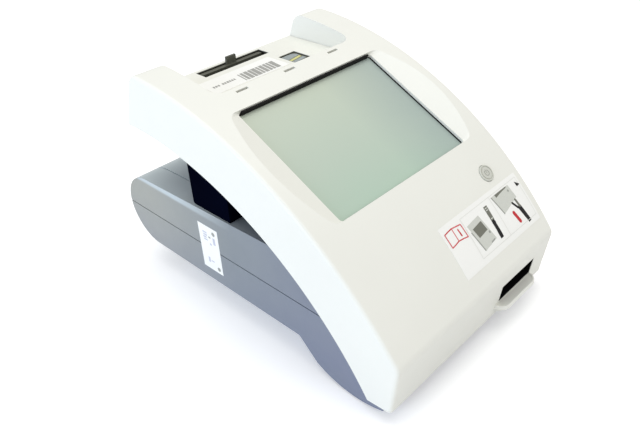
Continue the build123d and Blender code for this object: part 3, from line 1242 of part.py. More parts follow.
def make_battery_door():
    door = battery_block(DOOR_LAP, KEEL_BOTTOM, DOOR_TOP_Z)
    half = HINGE_LENGTH / 2
    span = (CELL_X - half, CELL_X + half)
    door += block(span, (BATTERY_Y[1], HINGE_Y), (KEEL_BOTTOM, DOOR_TOP_Z))
    door += rod_x(*span, HINGE_Y, HINGE_Z, HINGE_KNUCKLE_RADIUS)
    return door - rod_x(*span, HINGE_Y, HINGE_Z, HINGE_PIN_RADIUS + RUNNING_GAP)


def make_hinge_pin():
    half = HINGE_LENGTH / 2 + DOOR_GAP + HINGE_CHEEK
    return rod_x(CELL_X - half, CELL_X + half, HINGE_Y, HINGE_Z, HINGE_PIN_RADIUS)


def make_dc_jack():
    inner_y = PORT_WALL_Y - BASE_WALL
    body = block(
        (JACK_X - JACK_BODY / 2, JACK_X + JACK_BODY / 2),
        (inner_y - JACK_BODY, inner_y),
        (PORT_Z - JACK_BODY / 2, PORT_Z + JACK_BODY / 2),
    )
    jack = body + rod_y(JACK_X, inner_y, PORT_WALL_Y, PORT_Z, JACK_RADIUS)
    jack -= rod_y(JACK_X, PORT_WALL_Y - JACK_DEPTH, PORT_WALL_Y, PORT_Z, JACK_BORE_RADIUS)
    pin_y = (PORT_WALL_Y - JACK_DEPTH - JACK_PIN_RADIUS, PORT_WALL_Y - JACK_PIN_RADIUS)
    return jack + rod_y(JACK_X, *pin_y, PORT_Z, JACK_PIN_RADIUS)


def make_serial_port():
    inner_y = PORT_WALL_Y - BASE_WALL
    flange = block(
        (SERIAL_X - SERIAL_BODY / 2, SERIAL_X + SERIAL_BODY / 2),
        (inner_y - SERIAL_REACH, inner_y),
        (PORT_Z - SERIAL_HEIGHT / 2 - SERIAL_FLANGE, PORT_Z + SERIAL_HEIGHT / 2 + SERIAL_FLANGE),
    )
    width = SERIAL_WIDTH
    nose = Pos(SERIAL_X, 0, PORT_Z) * Box(width, SERIAL_REACH, SERIAL_HEIGHT)
    nose = Pos(0, inner_y + SERIAL_REACH / 2, 0) * nose
    return flange + fillet(nose.edges().filter_by(Axis.Y), SERIAL_CORNER)


def make_rubber_feet():
    return Compound(children=[rod_z(x, y, 0, pad_top(y), PAD_RADIUS) for x, y in PAD_PLACES])


def make_cover_screws():
    screws = []
    for x, y in COVER_BOSSES:
        seat = cover_screw_seat(y)
        tip = on_circle(SOFFIT_TOP_RADIUS, y).Y + BOSS_BITE - BORE_ROOM
        head = rod_z(x, y, seat - SCREW_HEAD_HEIGHT, seat, SCREW_HEAD_RADIUS)
        screws.append(head + rod_z(x, y, seat, tip, SCREW_RADIUS))
    return Compound(children=screws)


def make_case_screws():
    head_top = KEEL_BOTTOM + SCREW_HEAD_HEIGHT + SEAT_GAP
    screws = []
    for x, y in CASE_SCREWS:
        head = rod_z(x, y, head_top - SCREW_HEAD_HEIGHT, head_top, SCREW_HEAD_RADIUS)
        screws.append(head + rod_z(x, y, head_top, SEAM_Z + SCREW_BITE - BORE_ROOM, SCREW_RADIUS))
    return Compound(children=screws)


def make_front_label():
    low, high = FRONT_LABEL_ANGLE
    outer = CROWN_RADIUS + LABEL_THICKNESS
    edges = [
        arc_about_axis(at_angle(outer, low), at_angle(outer, high), outer),
        Line(at_angle(outer, high), at_angle(CROWN_RADIUS, high)),
        arc_about_axis(at_angle(CROWN_RADIUS, high), at_angle(CROWN_RADIUS, low), CROWN_RADIUS),
        Line(at_angle(CROWN_RADIUS, low), at_angle(outer, low)),
    ]
    return prism(make_face(edges), *FRONT_LABEL_X)


def make_side_label():
    return block((-BASE_HALF - LABEL_THICKNESS, -BASE_HALF), SIDE_LABEL_Y, SIDE_LABEL_Z)


def make_bay_label():
    return block(BAY_LABEL_X, BAY_LABEL_Y, (BAY_FLOOR_Z, BAY_FLOOR_Z + LABEL_THICKNESS))


os.makedirs("parts", exist_ok=True)

save("top_cover", make_cover())
save("mid_housing", make_mid_housing())
save("base_upper", make_base_upper())
save("base_lower", make_base_lower())
save("front_chin", make_chin())
save("screen_gasket", make_gasket())
save("touch_panel", screen_box(*panel_size(), LCD_TOP, TOUCH_TOP))
save("lcd_module", make_lcd())
save("main_board", make_main_board())
save("board_chips", make_board_chips())
save("board_screws", make_board_screws())
save("power_button", make_button())
save("button_spring", make_button_spring())
save("button_switch", make_button_switch())
save("button_board", make_button_board())
save("bay_tray", make_bay_tray())
save("card_socket", make_card_socket())
save("card_contacts", make_card_contacts())
save("memory_card", make_memory_card())
save("printer_chassis", make_printer_chassis())
save("print_head", make_print_head())
save("head_strip", make_head_strip())
save("platen_shaft", make_platen_shaft())
save("platen_roller", make_platen_roller())
save("platen_gear", make_platen_gear())
save("printer_motor", make_printer_motor())
save("printer_motor_gear", make_motor_gear())
save("paper_roll", make_paper_roll())
save("roll_core", make_roll_core())
save("release_lever", make_release_lever())
save("test_table", make_test_table())
save("table_insert", make_table_insert())
save("calibration_bar", make_calibration_bar())
save("table_pinion", make_table_pinion())
save("table_motor", make_table_motor())
save("table_guide", make_table_guide())
save("optics_housing", make_optics_housing())
save("read_lens", make_read_lens())
save("read_board", make_read_board())
save("lamp_block", make_lamp_block())
save("battery_cells", make_battery_cells())
save("battery_contacts", make_battery_contacts())
save("battery_door", make_battery_door())
save("door_hinge_pin", make_hinge_pin())
save("dc_jack", make_dc_jack())
save("serial_port", make_serial_port())
save("rubber_feet", make_rubber_feet())
save("case_screws", make_case_screws())
save("cover_screws", make_cover_screws())
save("front_label", make_front_label())
save("side_label", make_side_label())
save("bay_label", make_bay_label())
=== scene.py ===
import json
import math
import random

import bmesh
import bpy
from mathutils import Matrix, Vector


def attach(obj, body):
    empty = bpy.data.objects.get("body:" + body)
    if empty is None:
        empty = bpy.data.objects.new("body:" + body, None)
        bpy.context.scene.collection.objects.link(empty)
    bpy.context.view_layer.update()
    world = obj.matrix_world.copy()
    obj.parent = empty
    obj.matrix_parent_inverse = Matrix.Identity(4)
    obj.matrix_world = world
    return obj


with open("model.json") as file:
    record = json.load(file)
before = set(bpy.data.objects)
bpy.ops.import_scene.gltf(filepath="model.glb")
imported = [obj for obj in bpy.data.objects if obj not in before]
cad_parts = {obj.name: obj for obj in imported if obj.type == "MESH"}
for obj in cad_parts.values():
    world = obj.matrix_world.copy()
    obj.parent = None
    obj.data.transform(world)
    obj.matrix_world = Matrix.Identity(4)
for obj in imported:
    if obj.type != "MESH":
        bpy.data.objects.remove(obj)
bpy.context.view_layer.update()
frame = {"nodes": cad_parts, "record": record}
nodes = frame["nodes"]
random.seed(7)

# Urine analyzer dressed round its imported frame: every CAD node keeps its mesh and gets a
# procedural material, thin printed marks lie on the labels, and three lamps light it.
# Lengths are in metres, apart from those of the printed marks, which are in millimetres.

# ---- Camera: its place and its axes, in the frame ----
CAMERA_PLACE = (-0.28197, -0.27107, 0.31650)
CAMERA_RIGHT = (0.68694, -0.72542, -0.04333)
CAMERA_UP = (0.43368, 0.36137, 0.82543)
CAMERA_BACK = (-0.58313, -0.58581, 0.56284)
LENS_MM = 37.19
SENSOR_MM = 36.0
CLIP_START = 0.01

# ---- Textures: the used part of a noise's range, and the noise of an uneven gloss ----
NOISE_SPAN = (0.3, 0.7)
GLOSS_SCALE = 90.0

# ---- Places in the frame between which a tone changes, most of them for painted light and shade ----
# Painted shade: the screen's right side and right edge, the base toward its front and foot, and the
# printer slot. Painted light: the ledge's top toward the rear.
SCREEN_DOWN_Z = (0.150, 0.100)
SCREEN_SHADE_ACROSS_X = (-0.060, 0.062)
SCREEN_EDGE_SHADE_X = (0.0555, 0.0612)
BASE_SHADE_AHEAD_Y = (0.100, -0.100)
BASE_FOOT_SHADE_Z = (0.062, 0.020)
LEDGE_Z = (0.0745, 0.0765)
LEDGE_LIT_REAR_Y = (0.010, 0.070)
TRAY_SLOT_SHADE_Z = (0.1430, 0.14365)
TRAY_SLOT_SHADE_REAR_Y = (0.0952, 0.0956)

# ---- Printed marks: the surfaces they lie on ----
MM_PER_M = 1000.0
CROWN_AXIS = (98.85, -116.5)
CROWN_RADIUS = 278.5
FRONT_LABEL_X = -6.5
FRONT_LABEL_ANGLE = 43.9
FRONT_LABEL_THICKNESS = 0.15
BUTTON_X = 56.5
BUTTON_ANGLE = 41.8
BUTTON_PROUD = 0.8
BAY_LABEL_ORIGIN = (-50.0, 100.0, 143.85)
SIDE_LABEL_ORIGIN = (-82.85, 48.0, 72.0)
CARD_ORIGIN = (24.5, 70.2, 142.8)
INK_STEP = 2.0
INK_RISE = 0.015
INK_LEVELS = 6
INK_WELD_M = 1e-7

# ---- Floor and light ----
FLOOR_SIZE = 40.0
FLOOR_Z = -0.0002
FLOOR_GLOW = 0.28
AMBIENT_STRENGTH = 0.62
BACKDROP_STRENGTH = 1.0
WHITE = (1.0, 1.0, 1.0, 1.0)
WARM_LIGHT = (1.0, 0.99, 0.96)
COOL_LIGHT = (0.66, 0.79, 1.0)


def add_object(name, data):
    obj = bpy.data.objects.new(name, data)
    bpy.context.collection.objects.link(obj)
    return obj


def add_camera():
    data = bpy.data.cameras.new("camera")
    data.sensor_fit = "HORIZONTAL"
    data.sensor_width = SENSOR_MM
    data.lens = LENS_MM
    data.clip_start = CLIP_START
    camera = add_object("camera", data)
    turn = Matrix((CAMERA_RIGHT, CAMERA_UP, CAMERA_BACK)).transposed()
    camera.matrix_world = Matrix.Translation(CAMERA_PLACE) @ turn.to_4x4()
    bpy.context.scene.camera = camera


add_camera()


# ---- Materials ----
def srgb(r, g, b):
    """Linear colour of an 8-bit sRGB triple."""
    out = []
    for value in (r, g, b):
        c = value / 255.0
        out.append(c / 12.92 if c <= 0.04045 else ((c + 0.055) / 1.055) ** 2.4)
    return (*out, 1.0)


def shade(color, factor):
    """The colour times a factor, no channel past full."""
    return (*[min(1.0, c * factor) for c in color[:3]], 1.0)


class Nodes:
    """Small builder round one material's node tree."""

    def __init__(self, name):
        self.material = bpy.data.materials.new(name)
        self.material.use_nodes = True
        self.tree = self.material.node_tree
        self.tree.nodes.clear()
        self.out = self.tree.nodes.new("ShaderNodeOutputMaterial")
        self.shader = self.tree.nodes.new("ShaderNodeBsdfPrincipled")
        self.link(self.shader.outputs[0], self.out.inputs["Surface"])
        self.coord = self.tree.nodes.new("ShaderNodeTexCoord").outputs["Object"]

    def link(self, a, b):
        self.tree.links.new(a, b)

    def value(self, socket, value):
        self.shader.inputs[socket].default_value = value

    def paint(self, color):
        self.link(color, self.shader.inputs["Base Color"])

    def gloss(self, rough, specular):
        self.value("Roughness", rough)
        self.value("Specular IOR Level", specular)

    def uneven_gloss(self, fac, low, high, specular):
        """Roughness from low to high as a noise goes, with one specular level."""
        self.link(self.map(fac, NOISE_SPAN, low, high), self.shader.inputs["Roughness"])
        self.value("Specular IOR Level", specular)

    def add(self, kind, **props):
        node = self.tree.nodes.new(kind)
        for key, val in props.items():
            setattr(node, key, val)
        return node

    def noise(self, scale, detail=3.0, rough=0.55):
        node = self.add("ShaderNodeTexNoise")
        node.inputs["Scale"].default_value = scale
        node.inputs["Detail"].default_value = detail
        node.inputs["Roughness"].default_value = rough
        self.link(self.coord, node.inputs["Vector"])
        return node.outputs["Fac"]

    def streaks(self, scale, stretch, turn=0.0):
        """Noise drawn out by unequal scales along X, Y and Z, turned about Z."""
        mapping = self.add("ShaderNodeMapping")
        mapping.inputs["Scale"].default_value = stretch
        mapping.inputs["Rotation"].default_value = (0.0, 0.0, turn)
        self.link(self.coord, mapping.inputs["Vector"])
        node = self.add("ShaderNodeTexNoise")
        node.inputs["Scale"].default_value = scale
        self.link(mapping.outputs[0], node.inputs["Vector"])
        return node.outputs["Fac"]

    def ramp(self, fac, stops):
        node = self.add("ShaderNodeValToRGB")
        elements = node.color_ramp.elements
        while len(elements) < len(stops):
            elements.new(0.5)
        for element, (pos, color) in zip(elements, stops):
            element.position = pos
            element.color = color
        self.link(fac, node.inputs["Fac"])
        return node.outputs["Color"]

    def drift(self, fac, color, low, high):
        """The colour times low to high, as a noise goes."""
        start, end = NOISE_SPAN
        return self.ramp(fac, [(start, shade(color, low)), (end, shade(color, high))])

    def math(self, op, a, b=0.0):
        node = self.add("ShaderNodeMath", operation=op)
        for index, val in enumerate((a, b)):
            if isinstance(val, (int, float)):
                node.inputs[index].default_value = val
            else:
                self.link(val, node.inputs[index])
        return node.outputs[0]

    def map(self, fac, span, to_low=0.0, to_high=1.0):
        node = self.add("ShaderNodeMapRange")
        for index, val in enumerate((*span, to_low, to_high), 1):
            node.inputs[index].default_value = val
        self.link(fac, node.inputs[0])
        return node.outputs[0]

    def mix(self, fac, a, b):
        node = self.add("ShaderNodeMix", data_type="RGBA")
        self.link(fac, node.inputs[0])
        for index, val in ((6, a), (7, b)):
            if isinstance(val, tuple):
                node.inputs[index].default_value = val
            else:
                self.link(val, node.inputs[index])
        return node.outputs[2]

    def bump(self, height, strength, distance):
        node = self.add("ShaderNodeBump")
        node.inputs["Strength"].default_value = strength
        node.inputs["Distance"].default_value = distance
        self.link(height, node.inputs["Height"])
        self.link(node.outputs["Normal"], self.shader.inputs["Normal"])

    def axis(self, name):
        node = self.add("ShaderNodeSeparateXYZ")
        self.link(self.coord, node.inputs[0])
        return node.outputs[name]


def plastic(name, color, rough=0.42, grain=1400.0, bump=0.12, spread=0.035, spec=0.45):
    """Moulded plastic: faint tone drift, fine grain and slightly uneven gloss."""
    n = Nodes(name)
    n.paint(n.drift(n.noise(14.0, 4.0), color, 1 - spread, 1 + spread))
    n.uneven_gloss(n.noise(GLOSS_SCALE, 3.0), rough - 0.04, rough + 0.06, spec)
    n.bump(n.noise(grain, 2.0), strength=bump, distance=0.0002)
    return n.material


def metal(name, color, rough=0.3):
    """Plated or drawn metal with fine streaks."""
    n = Nodes(name)
    n.value("Metallic", 1.0)
    streak = n.streaks(900.0, stretch=(1.0, 0.06, 1.0))
    n.paint(n.drift(streak, color, 0.86, 1.08))
    rough_low, rough_high = rough - 0.06, rough + 0.08
    n.link(n.map(streak, NOISE_SPAN, rough_low, rough_high), n.shader.inputs["Roughness"])
    n.bump(streak, strength=0.08, distance=0.0001)
    return n.material


def soft(name, color, rough=0.75):
    """Rubber, foam or card: matte with a pitted surface."""
    n = Nodes(name)
    pits = n.noise(700.0, 4.0, 0.7)
    n.paint(n.drift(pits, color, 0.75, 1.15))
    n.gloss(rough, specular=0.25)
    n.bump(pits, strength=0.3, distance=0.0003)
    return n.material


def paper(name, color, rough=0.7):
    """Paper or label stock: fine fibre and a slow change of tone."""
    n = Nodes(name)
    fibre = n.noise(1800.0, 5.0, 0.75)
    tone = n.drift(fibre, color, 0.97, 1.02)
    patches = n.map(n.noise(40.0, 2.0), NOISE_SPAN, 0.0, 0.35)
    n.paint(n.mix(patches, tone, shade(color, 0.96)))
    n.gloss(rough, specular=0.3)
    n.bump(fibre, strength=0.1, distance=0.0001)
    return n.material


def screen_film():
    """Grey-green display seen through a satin touch film, its tone changing from top to bottom,
    with painted shade toward its right side and along its right edge.
    """
    n = Nodes("screen_film")
    x = n.axis("X")
    down = n.map(n.axis("Z"), SCREEN_DOWN_Z)
    stops = [(0.0, srgb(193, 201, 183)), (0.55, srgb(183, 197, 182)), (1.0, srgb(173, 196, 179))]
    # Painted shade: the screen darker toward its right side.
    side = n.map(x, SCREEN_SHADE_ACROSS_X)
    right_shaded = n.mix(n.map(side, (0.55, 0.98), 0.0, 0.80), n.ramp(down, stops), srgb(158, 172, 168))
    # Darker painted shade along the screen's right edge.
    edge = n.math("POWER", n.map(x, SCREEN_EDGE_SHADE_X), 1.6)
    dark = n.mix(n.math("MULTIPLY", edge, 0.55), right_shaded, srgb(110, 122, 122))
    mottle = n.map(n.noise(30.0, 3.0), (0.35, 0.65), 0.0, 0.12)
    n.paint(n.mix(mottle, dark, srgb(186, 194, 182)))
    n.gloss(rough=0.33, specular=0.35)
    n.bump(n.noise(2200.0, 2.0), strength=0.05, distance=0.0001)
    return n.material


def board_mask():
    """Green solder mask with faint copper tracks."""
    n = Nodes("circuit_board")
    brick = n.add("ShaderNodeTexBrick")
    brick.inputs["Scale"].default_value = 160.0
    brick.inputs["Mortar Size"].default_value = 0.035
    brick.inputs["Color1"].default_value = srgb(22, 84, 48)
    brick.inputs["Color2"].default_value = srgb(26, 94, 54)
    brick.inputs["Mortar"].default_value = srgb(48, 122, 72)
    n.link(n.coord, brick.inputs["Vector"])
    n.paint(brick.outputs["Color"])
    n.value("Roughness", 0.35)
    n.bump(brick.outputs["Fac"], strength=0.1, distance=0.0001)
    return n.material


def base_shell():
    """Grey-blue moulding with painted shade, darker and bluer toward its front and bluer at its
    foot, a painted lit top on the ledge toward its tail, and rub marks on the ledge.
    """
    n = Nodes("base_plastic")
    y = n.axis("Y")
    z = n.axis("Z")
    # Painted shade: the moulding darker and bluer toward the front.
    stops = [(0.0, srgb(155, 156, 148)), (0.45, srgb(127, 134, 139)), (1.0, srgb(115, 121, 141))]
    tone = n.ramp(n.map(y, BASE_SHADE_AHEAD_Y), stops)
    # Painted shade: bluer toward the foot.
    shaded_foot = n.mix(n.map(z, BASE_FOOT_SHADE_Z, 0.0, 0.35), tone, srgb(122, 128, 150))
    wear = n.map(n.noise(16.0, 4.0), NOISE_SPAN, 0.0, 0.18)
    worn_and_shaded = n.mix(wear, shaded_foot, srgb(156, 162, 164))
    # Painted light: the ledge's top lighter toward the rear.
    ledge = n.map(z, LEDGE_Z)
    rear = n.map(y, LEDGE_LIT_REAR_Y, 0.0, 0.75)
    lit_ledge_and_shade = n.mix(n.math("MULTIPLY", ledge, rear), worn_and_shaded, srgb(196, 208, 212))
    scratch = n.streaks(1.0, stretch=(30.0, 900.0, 30.0), turn=0.5)
    rubs = n.map(scratch, (0.72, 0.76), 0.0, 0.55)
    n.paint(n.mix(n.math("MULTIPLY", rubs, ledge), lit_ledge_and_shade, srgb(222, 226, 228)))
    n.uneven_gloss(n.noise(GLOSS_SCALE, 3.0), 0.32, 0.42, specular=0.35)
    n.bump(n.noise(1200.0, 2.0), strength=0.14, distance=0.0002)
    return n.material


def tray_plastic():
    """Cover-coloured moulding whose printer slot is painted near-black below the bay floor, as
    painted shade in the slot.
    """
    n = Nodes("tray_plastic")
    stops = [(0.3, srgb(229, 229, 220)), (0.7, srgb(234, 234, 225))]
    face = n.ramp(n.noise(14.0, 4.0), stops)
    # Painted shade: the slot's walls below the bay floor painted near-black.
    below = n.map(n.axis("Z"), TRAY_SLOT_SHADE_Z, 1.0, 0.0)
    ahead_of_rear = n.map(n.axis("Y"), TRAY_SLOT_SHADE_REAR_Y, 1.0, 0.0)
    n.paint(n.mix(n.math("MULTIPLY", below, ahead_of_rear), face, srgb(44, 44, 38)))
    n.gloss(rough=0.42, specular=0.4)
    n.bump(n.noise(1500.0, 2.0), strength=0.10, distance=0.0002)
    return n.material


def shaded_neck():
    """Housing under the cover's arch, painted near-black with a deep blue cast as painted shade,
    and given no specular reflection of its own.
    """
    n = Nodes("dark_plastic")
    # Painted shade: near-black navy where the housing lies in the arch's shade.
    n.paint(n.ramp(n.noise(9.0, 1.0), [(0.2, srgb(4, 5, 15)), (0.8, srgb(5, 9, 28))]))
    n.gloss(rough=0.30, specular=0.0)
    n.bump(n.noise(600.0, 2.0), strength=0.04, distance=0.0002)
    return n.material


def glass(name):
    n = Nodes(name)
    n.value("Base Color", (0.92, 0.95, 0.97, 1.0))
    n.value("Transmission Weight", 1.0)
    n.value("Roughness", 0.03)
    n.value("IOR", 1.5)
    return n.material


def ink(name, tone, rough=0.45):
    """Screen-printed ink: thin, faintly uneven in tone."""
    n = Nodes(name)
    speck = n.noise(2600.0, 3.0, 0.7)
    n.paint(n.drift(speck, tone, 0.9, 1.08))
    n.gloss(rough, specular=0.3)
    n.bump(speck, strength=0.08, distance=0.00005)
    return n.material


materials = {
    "cover_plastic": plastic("cover_plastic", srgb(233, 233, 225), 0.40, 1500.0, 0.10, 0.012),
    "base_plastic": base_shell(),
    "dark_plastic": shaded_neck(),
    "black_plastic": plastic("black_plastic", srgb(9, 9, 10), 0.5, spec=0.15),
    "grey_plastic": plastic("grey_plastic", srgb(88, 89, 78)),
    "button_plastic": plastic("button_plastic", srgb(203, 204, 194), 0.38),
    "tray_plastic": tray_plastic(),
    "foam": soft("foam", srgb(10, 10, 10)),
    "screen_film": screen_film(),
    "circuit_board": board_mask(),
    "chip": plastic("chip", srgb(26, 26, 28), 0.5),
    "steel": metal("steel", srgb(178, 178, 180)),
    "dark_steel": metal("dark_steel", srgb(34, 34, 38), 0.45),
    "gold_contact": metal("gold_contact", srgb(214, 190, 88), 0.28),
    "white_plastic": plastic("white_plastic", srgb(232, 232, 228), 0.38),
    "rubber": soft("rubber", srgb(34, 34, 35)),
    "paper": paper("paper", srgb(240, 240, 236)),
    "card_core": soft("card_core", srgb(158, 132, 98), 0.85),
    "ceramic": plastic("ceramic", srgb(206, 200, 186), 0.25),
    "lens_glass": glass("lens_glass"),
    "cell_jacket": plastic("cell_jacket", srgb(60, 66, 74), 0.3),
    "label": paper("label", srgb(244, 244, 240), 0.45),
}

inks = {
    "black": ink("ink_black", srgb(14, 14, 14)),
    "dark": ink("ink_dark", srgb(116, 117, 106)),
    "mid": ink("ink_mid", srgb(158, 160, 153)),
    "pale": ink("ink_pale", srgb(206, 208, 200)),
    "line": ink("ink_line", srgb(226, 227, 220)),
    "red": ink("ink_red", srgb(196, 48, 54)),
    "rose": ink("ink_rose", srgb(214, 100, 104)),
    "lilac": ink("ink_lilac", srgb(196, 198, 210)),
    "bar": ink("ink_bar", srgb(160, 160, 155)),
    "gold": ink("ink_gold", srgb(206, 204, 132), 0.35),
    "silver": ink("ink_silver", srgb(150, 158, 158), 0.35),
    "mark": ink("ink_mark", srgb(150, 152, 144)),
}

for item in frame["record"]["subparts"]:
    mesh = nodes[item["node"]].data
    mesh.materials.clear()
    mesh.materials.append(materials[item["material_slot"]])


# ---- Surfaces: u to the right, v down or toward the front, lift away from the surface ----
def on_crown(angle, rise):
    """The crown's point at an angle from its crest, raised along its radius."""
    radius = CROWN_RADIUS + rise
    return CROWN_AXIS[0] - math.sin(angle) * radius, CROWN_AXIS[1] + math.cos(angle) * radius


def on_front_label(u, v, lift):
    angle = math.radians(FRONT_LABEL_ANGLE) + v / CROWN_RADIUS
    return (FRONT_LABEL_X + u, *on_crown(angle, FRONT_LABEL_THICKNESS + lift))


def on_button(u, v, lift):
    """From the button's middle, in the plane of its face."""
    angle = math.radians(BUTTON_ANGLE)
    y, z = on_crown(angle, BUTTON_PROUD + lift)
    return (BUTTON_X + u, y - math.cos(angle) * v, z - math.sin(angle) * v)


def on_bay_label(u, v, lift):
    x, y, z = BAY_LABEL_ORIGIN
    return (x + u, y - v, z + lift)


def on_side_label(u, v, lift):
    x, y, z = SIDE_LABEL_ORIGIN
    return (x - lift, y - u, z - v)


def on_card(u, v, lift):
    x, y, z = CARD_ORIGIN
    return (x + u, y - v, z + lift)


# ---- Shapes: each is an outline in surface coordinates and the tone of its ink ----
def disc(x, y, radius, count=10):
    turn = 2 * math.pi / count
    angles = [turn * k for k in range(count)]
    return [(x + radius * math.cos(a), y + radius * math.sin(a)) for a in angles]


def stroke(points, width, tone, closed=False):
    """Line of even width: one quad to a segment and a small disc at each turn."""
    shapes = []
    ends = points[1:] + points[:1] if closed else points[1:]
    for (ax, ay), (bx, by) in zip(points, ends):
        length = math.hypot(bx - ax, by - ay)
        sx = (by - ay) / length * width / 2
        sy = (ax - bx) / length * width / 2
        quad = [(ax + sx, ay + sy), (bx + sx, by + sy), (bx - sx, by - sy), (ax - sx, ay - sy)]
        shapes.append((quad, tone))
    for x, y in points:
        shapes.append((disc(x, y, width / 2), tone))
    return shapes


def bar(u, v, width, height, tone, lean=0.0):
    low = v + height
    return ([(u, v), (u + width, v), (u + width - lean, low), (u - lean, low)], tone)


def wobble(points, amount, steps=4):
    """Corners joined by slightly uneven edges, as small printed artwork has."""
    out = []
    for (ax, ay), (bx, by) in zip(points, points[1:] + points[:1]):
        for k in range(steps):
            t = k / steps
            jitter = random.uniform(-amount, amount) if k else 0.0
            out.append((ax + (bx - ax) * t + jitter, ay + (by - ay) * t + jitter))
    return out


def cut_in_strips(points):
    """The outline as flat faces in short strips, so that it can follow a curve."""
    part = bmesh.new()
    part.faces.new([part.verts.new((u, v, 0.0)) for u, v in points])
    high = max(v for u, v in points)
    cut = min(v for u, v in points) + INK_STEP
    while cut < high:
        geom = part.verts[:] + part.edges[:] + part.faces[:]
        bmesh.ops.bisect_plane(part, geom=geom, plane_co=(0, cut, 0), plane_no=(0, 1, 0))
        cut += INK_STEP
    return part


def print_marks(name, surface, shapes):
    """One thin printed layer, whose shapes lie a hair above each other on a surface."""
    mesh = bpy.data.meshes.new(name)
    tones = sorted({tone for points, tone in shapes})
    bm = bmesh.new()
    for level, (points, tone) in enumerate(shapes, 1):
        part = cut_in_strips(points)
        lift = INK_RISE * (1 + level % INK_LEVELS)
        for face in part.faces:
            corners = [Vector(surface(v.co.x, v.co.y, lift)) / MM_PER_M for v in face.verts]
            new = bm.faces.new([bm.verts.new(c) for c in corners])
            new.material_index = tones.index(tone)
        part.free()
    bmesh.ops.remove_doubles(bm, verts=bm.verts[:], dist=INK_WELD_M)
    bm.to_mesh(mesh)
    bm.free()
    for tone in tones:
        mesh.materials.append(inks[tone])
    return add_object(name, mesh)


# ---- Artwork of the front label ----
def open_book():
    top_edge = [(0.8, 5.2), (4.5, 4.7), (8.4, 4.4), (12.5, 5.0), (16.8, 5.6)]
    low_edge = [(17.2, 14.6), (13.0, 13.8), (8.4, 13.2), (4.5, 13.8), (1.0, 14.2)]
    shapes = stroke(top_edge + low_edge, 0.8, "rose", True)
    shapes += stroke(top_edge[:3], 0.45, "red") + stroke(low_edge[1:4], 0.45, "red")
    shapes += stroke([(8.4, 4.6), (8.4, 13.2)], 0.7, "rose")
    shapes += stroke([(12.6, 7.2), (12.8, 9.0)], 1.1, "rose")
    shapes += stroke([(12.9, 9.6), (13.0, 11.6)], 1.2, "red")
    return shapes


def panel_frames():
    outline = [(18.8, 3.0), (83.6, 3.0), (83.6, 31.5), (18.8, 31.5)]
    return stroke(outline, 0.35, "line", True) + stroke([(51.2, 3.0), (51.2, 31.5)], 0.35, "line")


def unit_from_above():
    body = wobble([(20.6, 9.4), (34.2, 8.0), (38.4, 26.8), (24.2, 28.8)], 0.12)
    screen = [(23.6, 13.0), (33.6, 11.8), (35.0, 18.8), (25.2, 20.0)]
    shapes = [(body, "pale"), (screen, "dark")]
    shapes += stroke([(21.2, 14.4), (24.2, 28.2)], 0.9, "mid")
    shapes += stroke([(33.0, 26.9), (36.4, 26.4)], 0.9, "mid")
    shapes.append((disc(35.6, 20.8, 0.9), "mid"))
    return shapes


def strip_with_pads():
    shapes = [([(42.0, 6.2), (45.6, 6.2), (45.2, 16.2), (42.0, 16.2)], "dark")]
    for k in range(6):
        top = 7.2 + 1.5 * k
        low = 7.9 + 1.5 * k
        shapes.append(([(42.7, top), (44.8, top), (44.7, low), (42.8, low)], "pale"))
    handle = wobble([(42.0, 16.2), (45.0, 16.2), (44.9, 29.0), (41.8, 29.0)], 0.1)
    return shapes + [(handle, "black"), (disc(43.5, 18.0, 1.75), "black")]


def unit_with_strip():
    body = wobble([(52.6, 4.4), (73.4, 4.2), (74.8, 14.2), (57.0, 18.2)], 0.12)
    bay = [(57.0, 4.3), (71.0, 4.2), (70.6, 5.0), (62.0, 5.8), (57.6, 6.6)]
    shapes = [(body, "pale"), (bay, "dark")]
    shapes += stroke([(53.2, 4.8), (56.4, 18.0)], 0.9, "mid")
    shapes.append((disc(70.8, 7.5, 0.8), "mid"))
    shapes += stroke([(68.0, 15.8), (70.8, 20.4)], 1.7, "black")
    shapes += stroke([(72.2, 15.2), (73.0, 20.2)], 1.9, "dark")
    shapes.append(([(70.2, 19.6), (74.2, 19.8), (76.6, 32.4), (73.6, 33.0)], "black"))
    shapes += stroke([(64.4, 21.4), (66.2, 28.4)], 2.7, "red")
    shapes.append(([(80.6, 5.2), (84.4, 8.6), (80.8, 9.0)], "black"))
    return shapes


# ---- Artwork of the other labels, the card and the button ----
# Left edge and width of each bar.
TALL_BARS = (
    (33.6, 1.0), (35.6, 2.2), (38.6, 3.0), (42.4, 2.4), (45.4, 3.4),
    (49.6, 2.0), (52.4, 3.0), (56.2, 2.4), (59.4, 2.0), (62.2, 3.6),
)
SHORT_BARS = (
    (9.6, 1.3), (11.5, 1.6), (13.7, 1.4), (17.2, 1.6), (19.3, 1.3),
    (21.2, 1.7), (23.4, 1.3), (25.3, 1.5), (27.3, 1.2),
)


def bay_marks():
    shapes = [bar(left, 31.0, width, 12.4, "bar", lean=2.0) for left, width in TALL_BARS]
    shapes += [bar(left, 34.2, width, 2.6, "bar", lean=0.4) for left, width in SHORT_BARS]
    return shapes


def side_marks():
    return [
        bar(7.2, 8.6, 4.2, 1.2, "lilac"),
        bar(7.6, 10.6, 3.8, 1.2, "lilac"),
        bar(7.2, 12.6, 3.4, 1.2, "lilac"),
        bar(7.6, 14.6, 4.0, 1.0, "lilac"),
        bar(13.0, 11.2, 2.0, 1.2, "mid"),
        bar(13.4, 16.6, 1.8, 1.6, "lilac"),
        bar(17.2, 10.8, 2.4, 5.6, "lilac"),
        bar(9.0, 29.8, 2.0, 4.4, "lilac"),
        bar(12.0, 31.6, 3.2, 1.0, "lilac"),
        (disc(18.6, 7.4, 1.7), "mid"),
        (disc(19.4, 36.4, 1.7), "mid"),
    ]


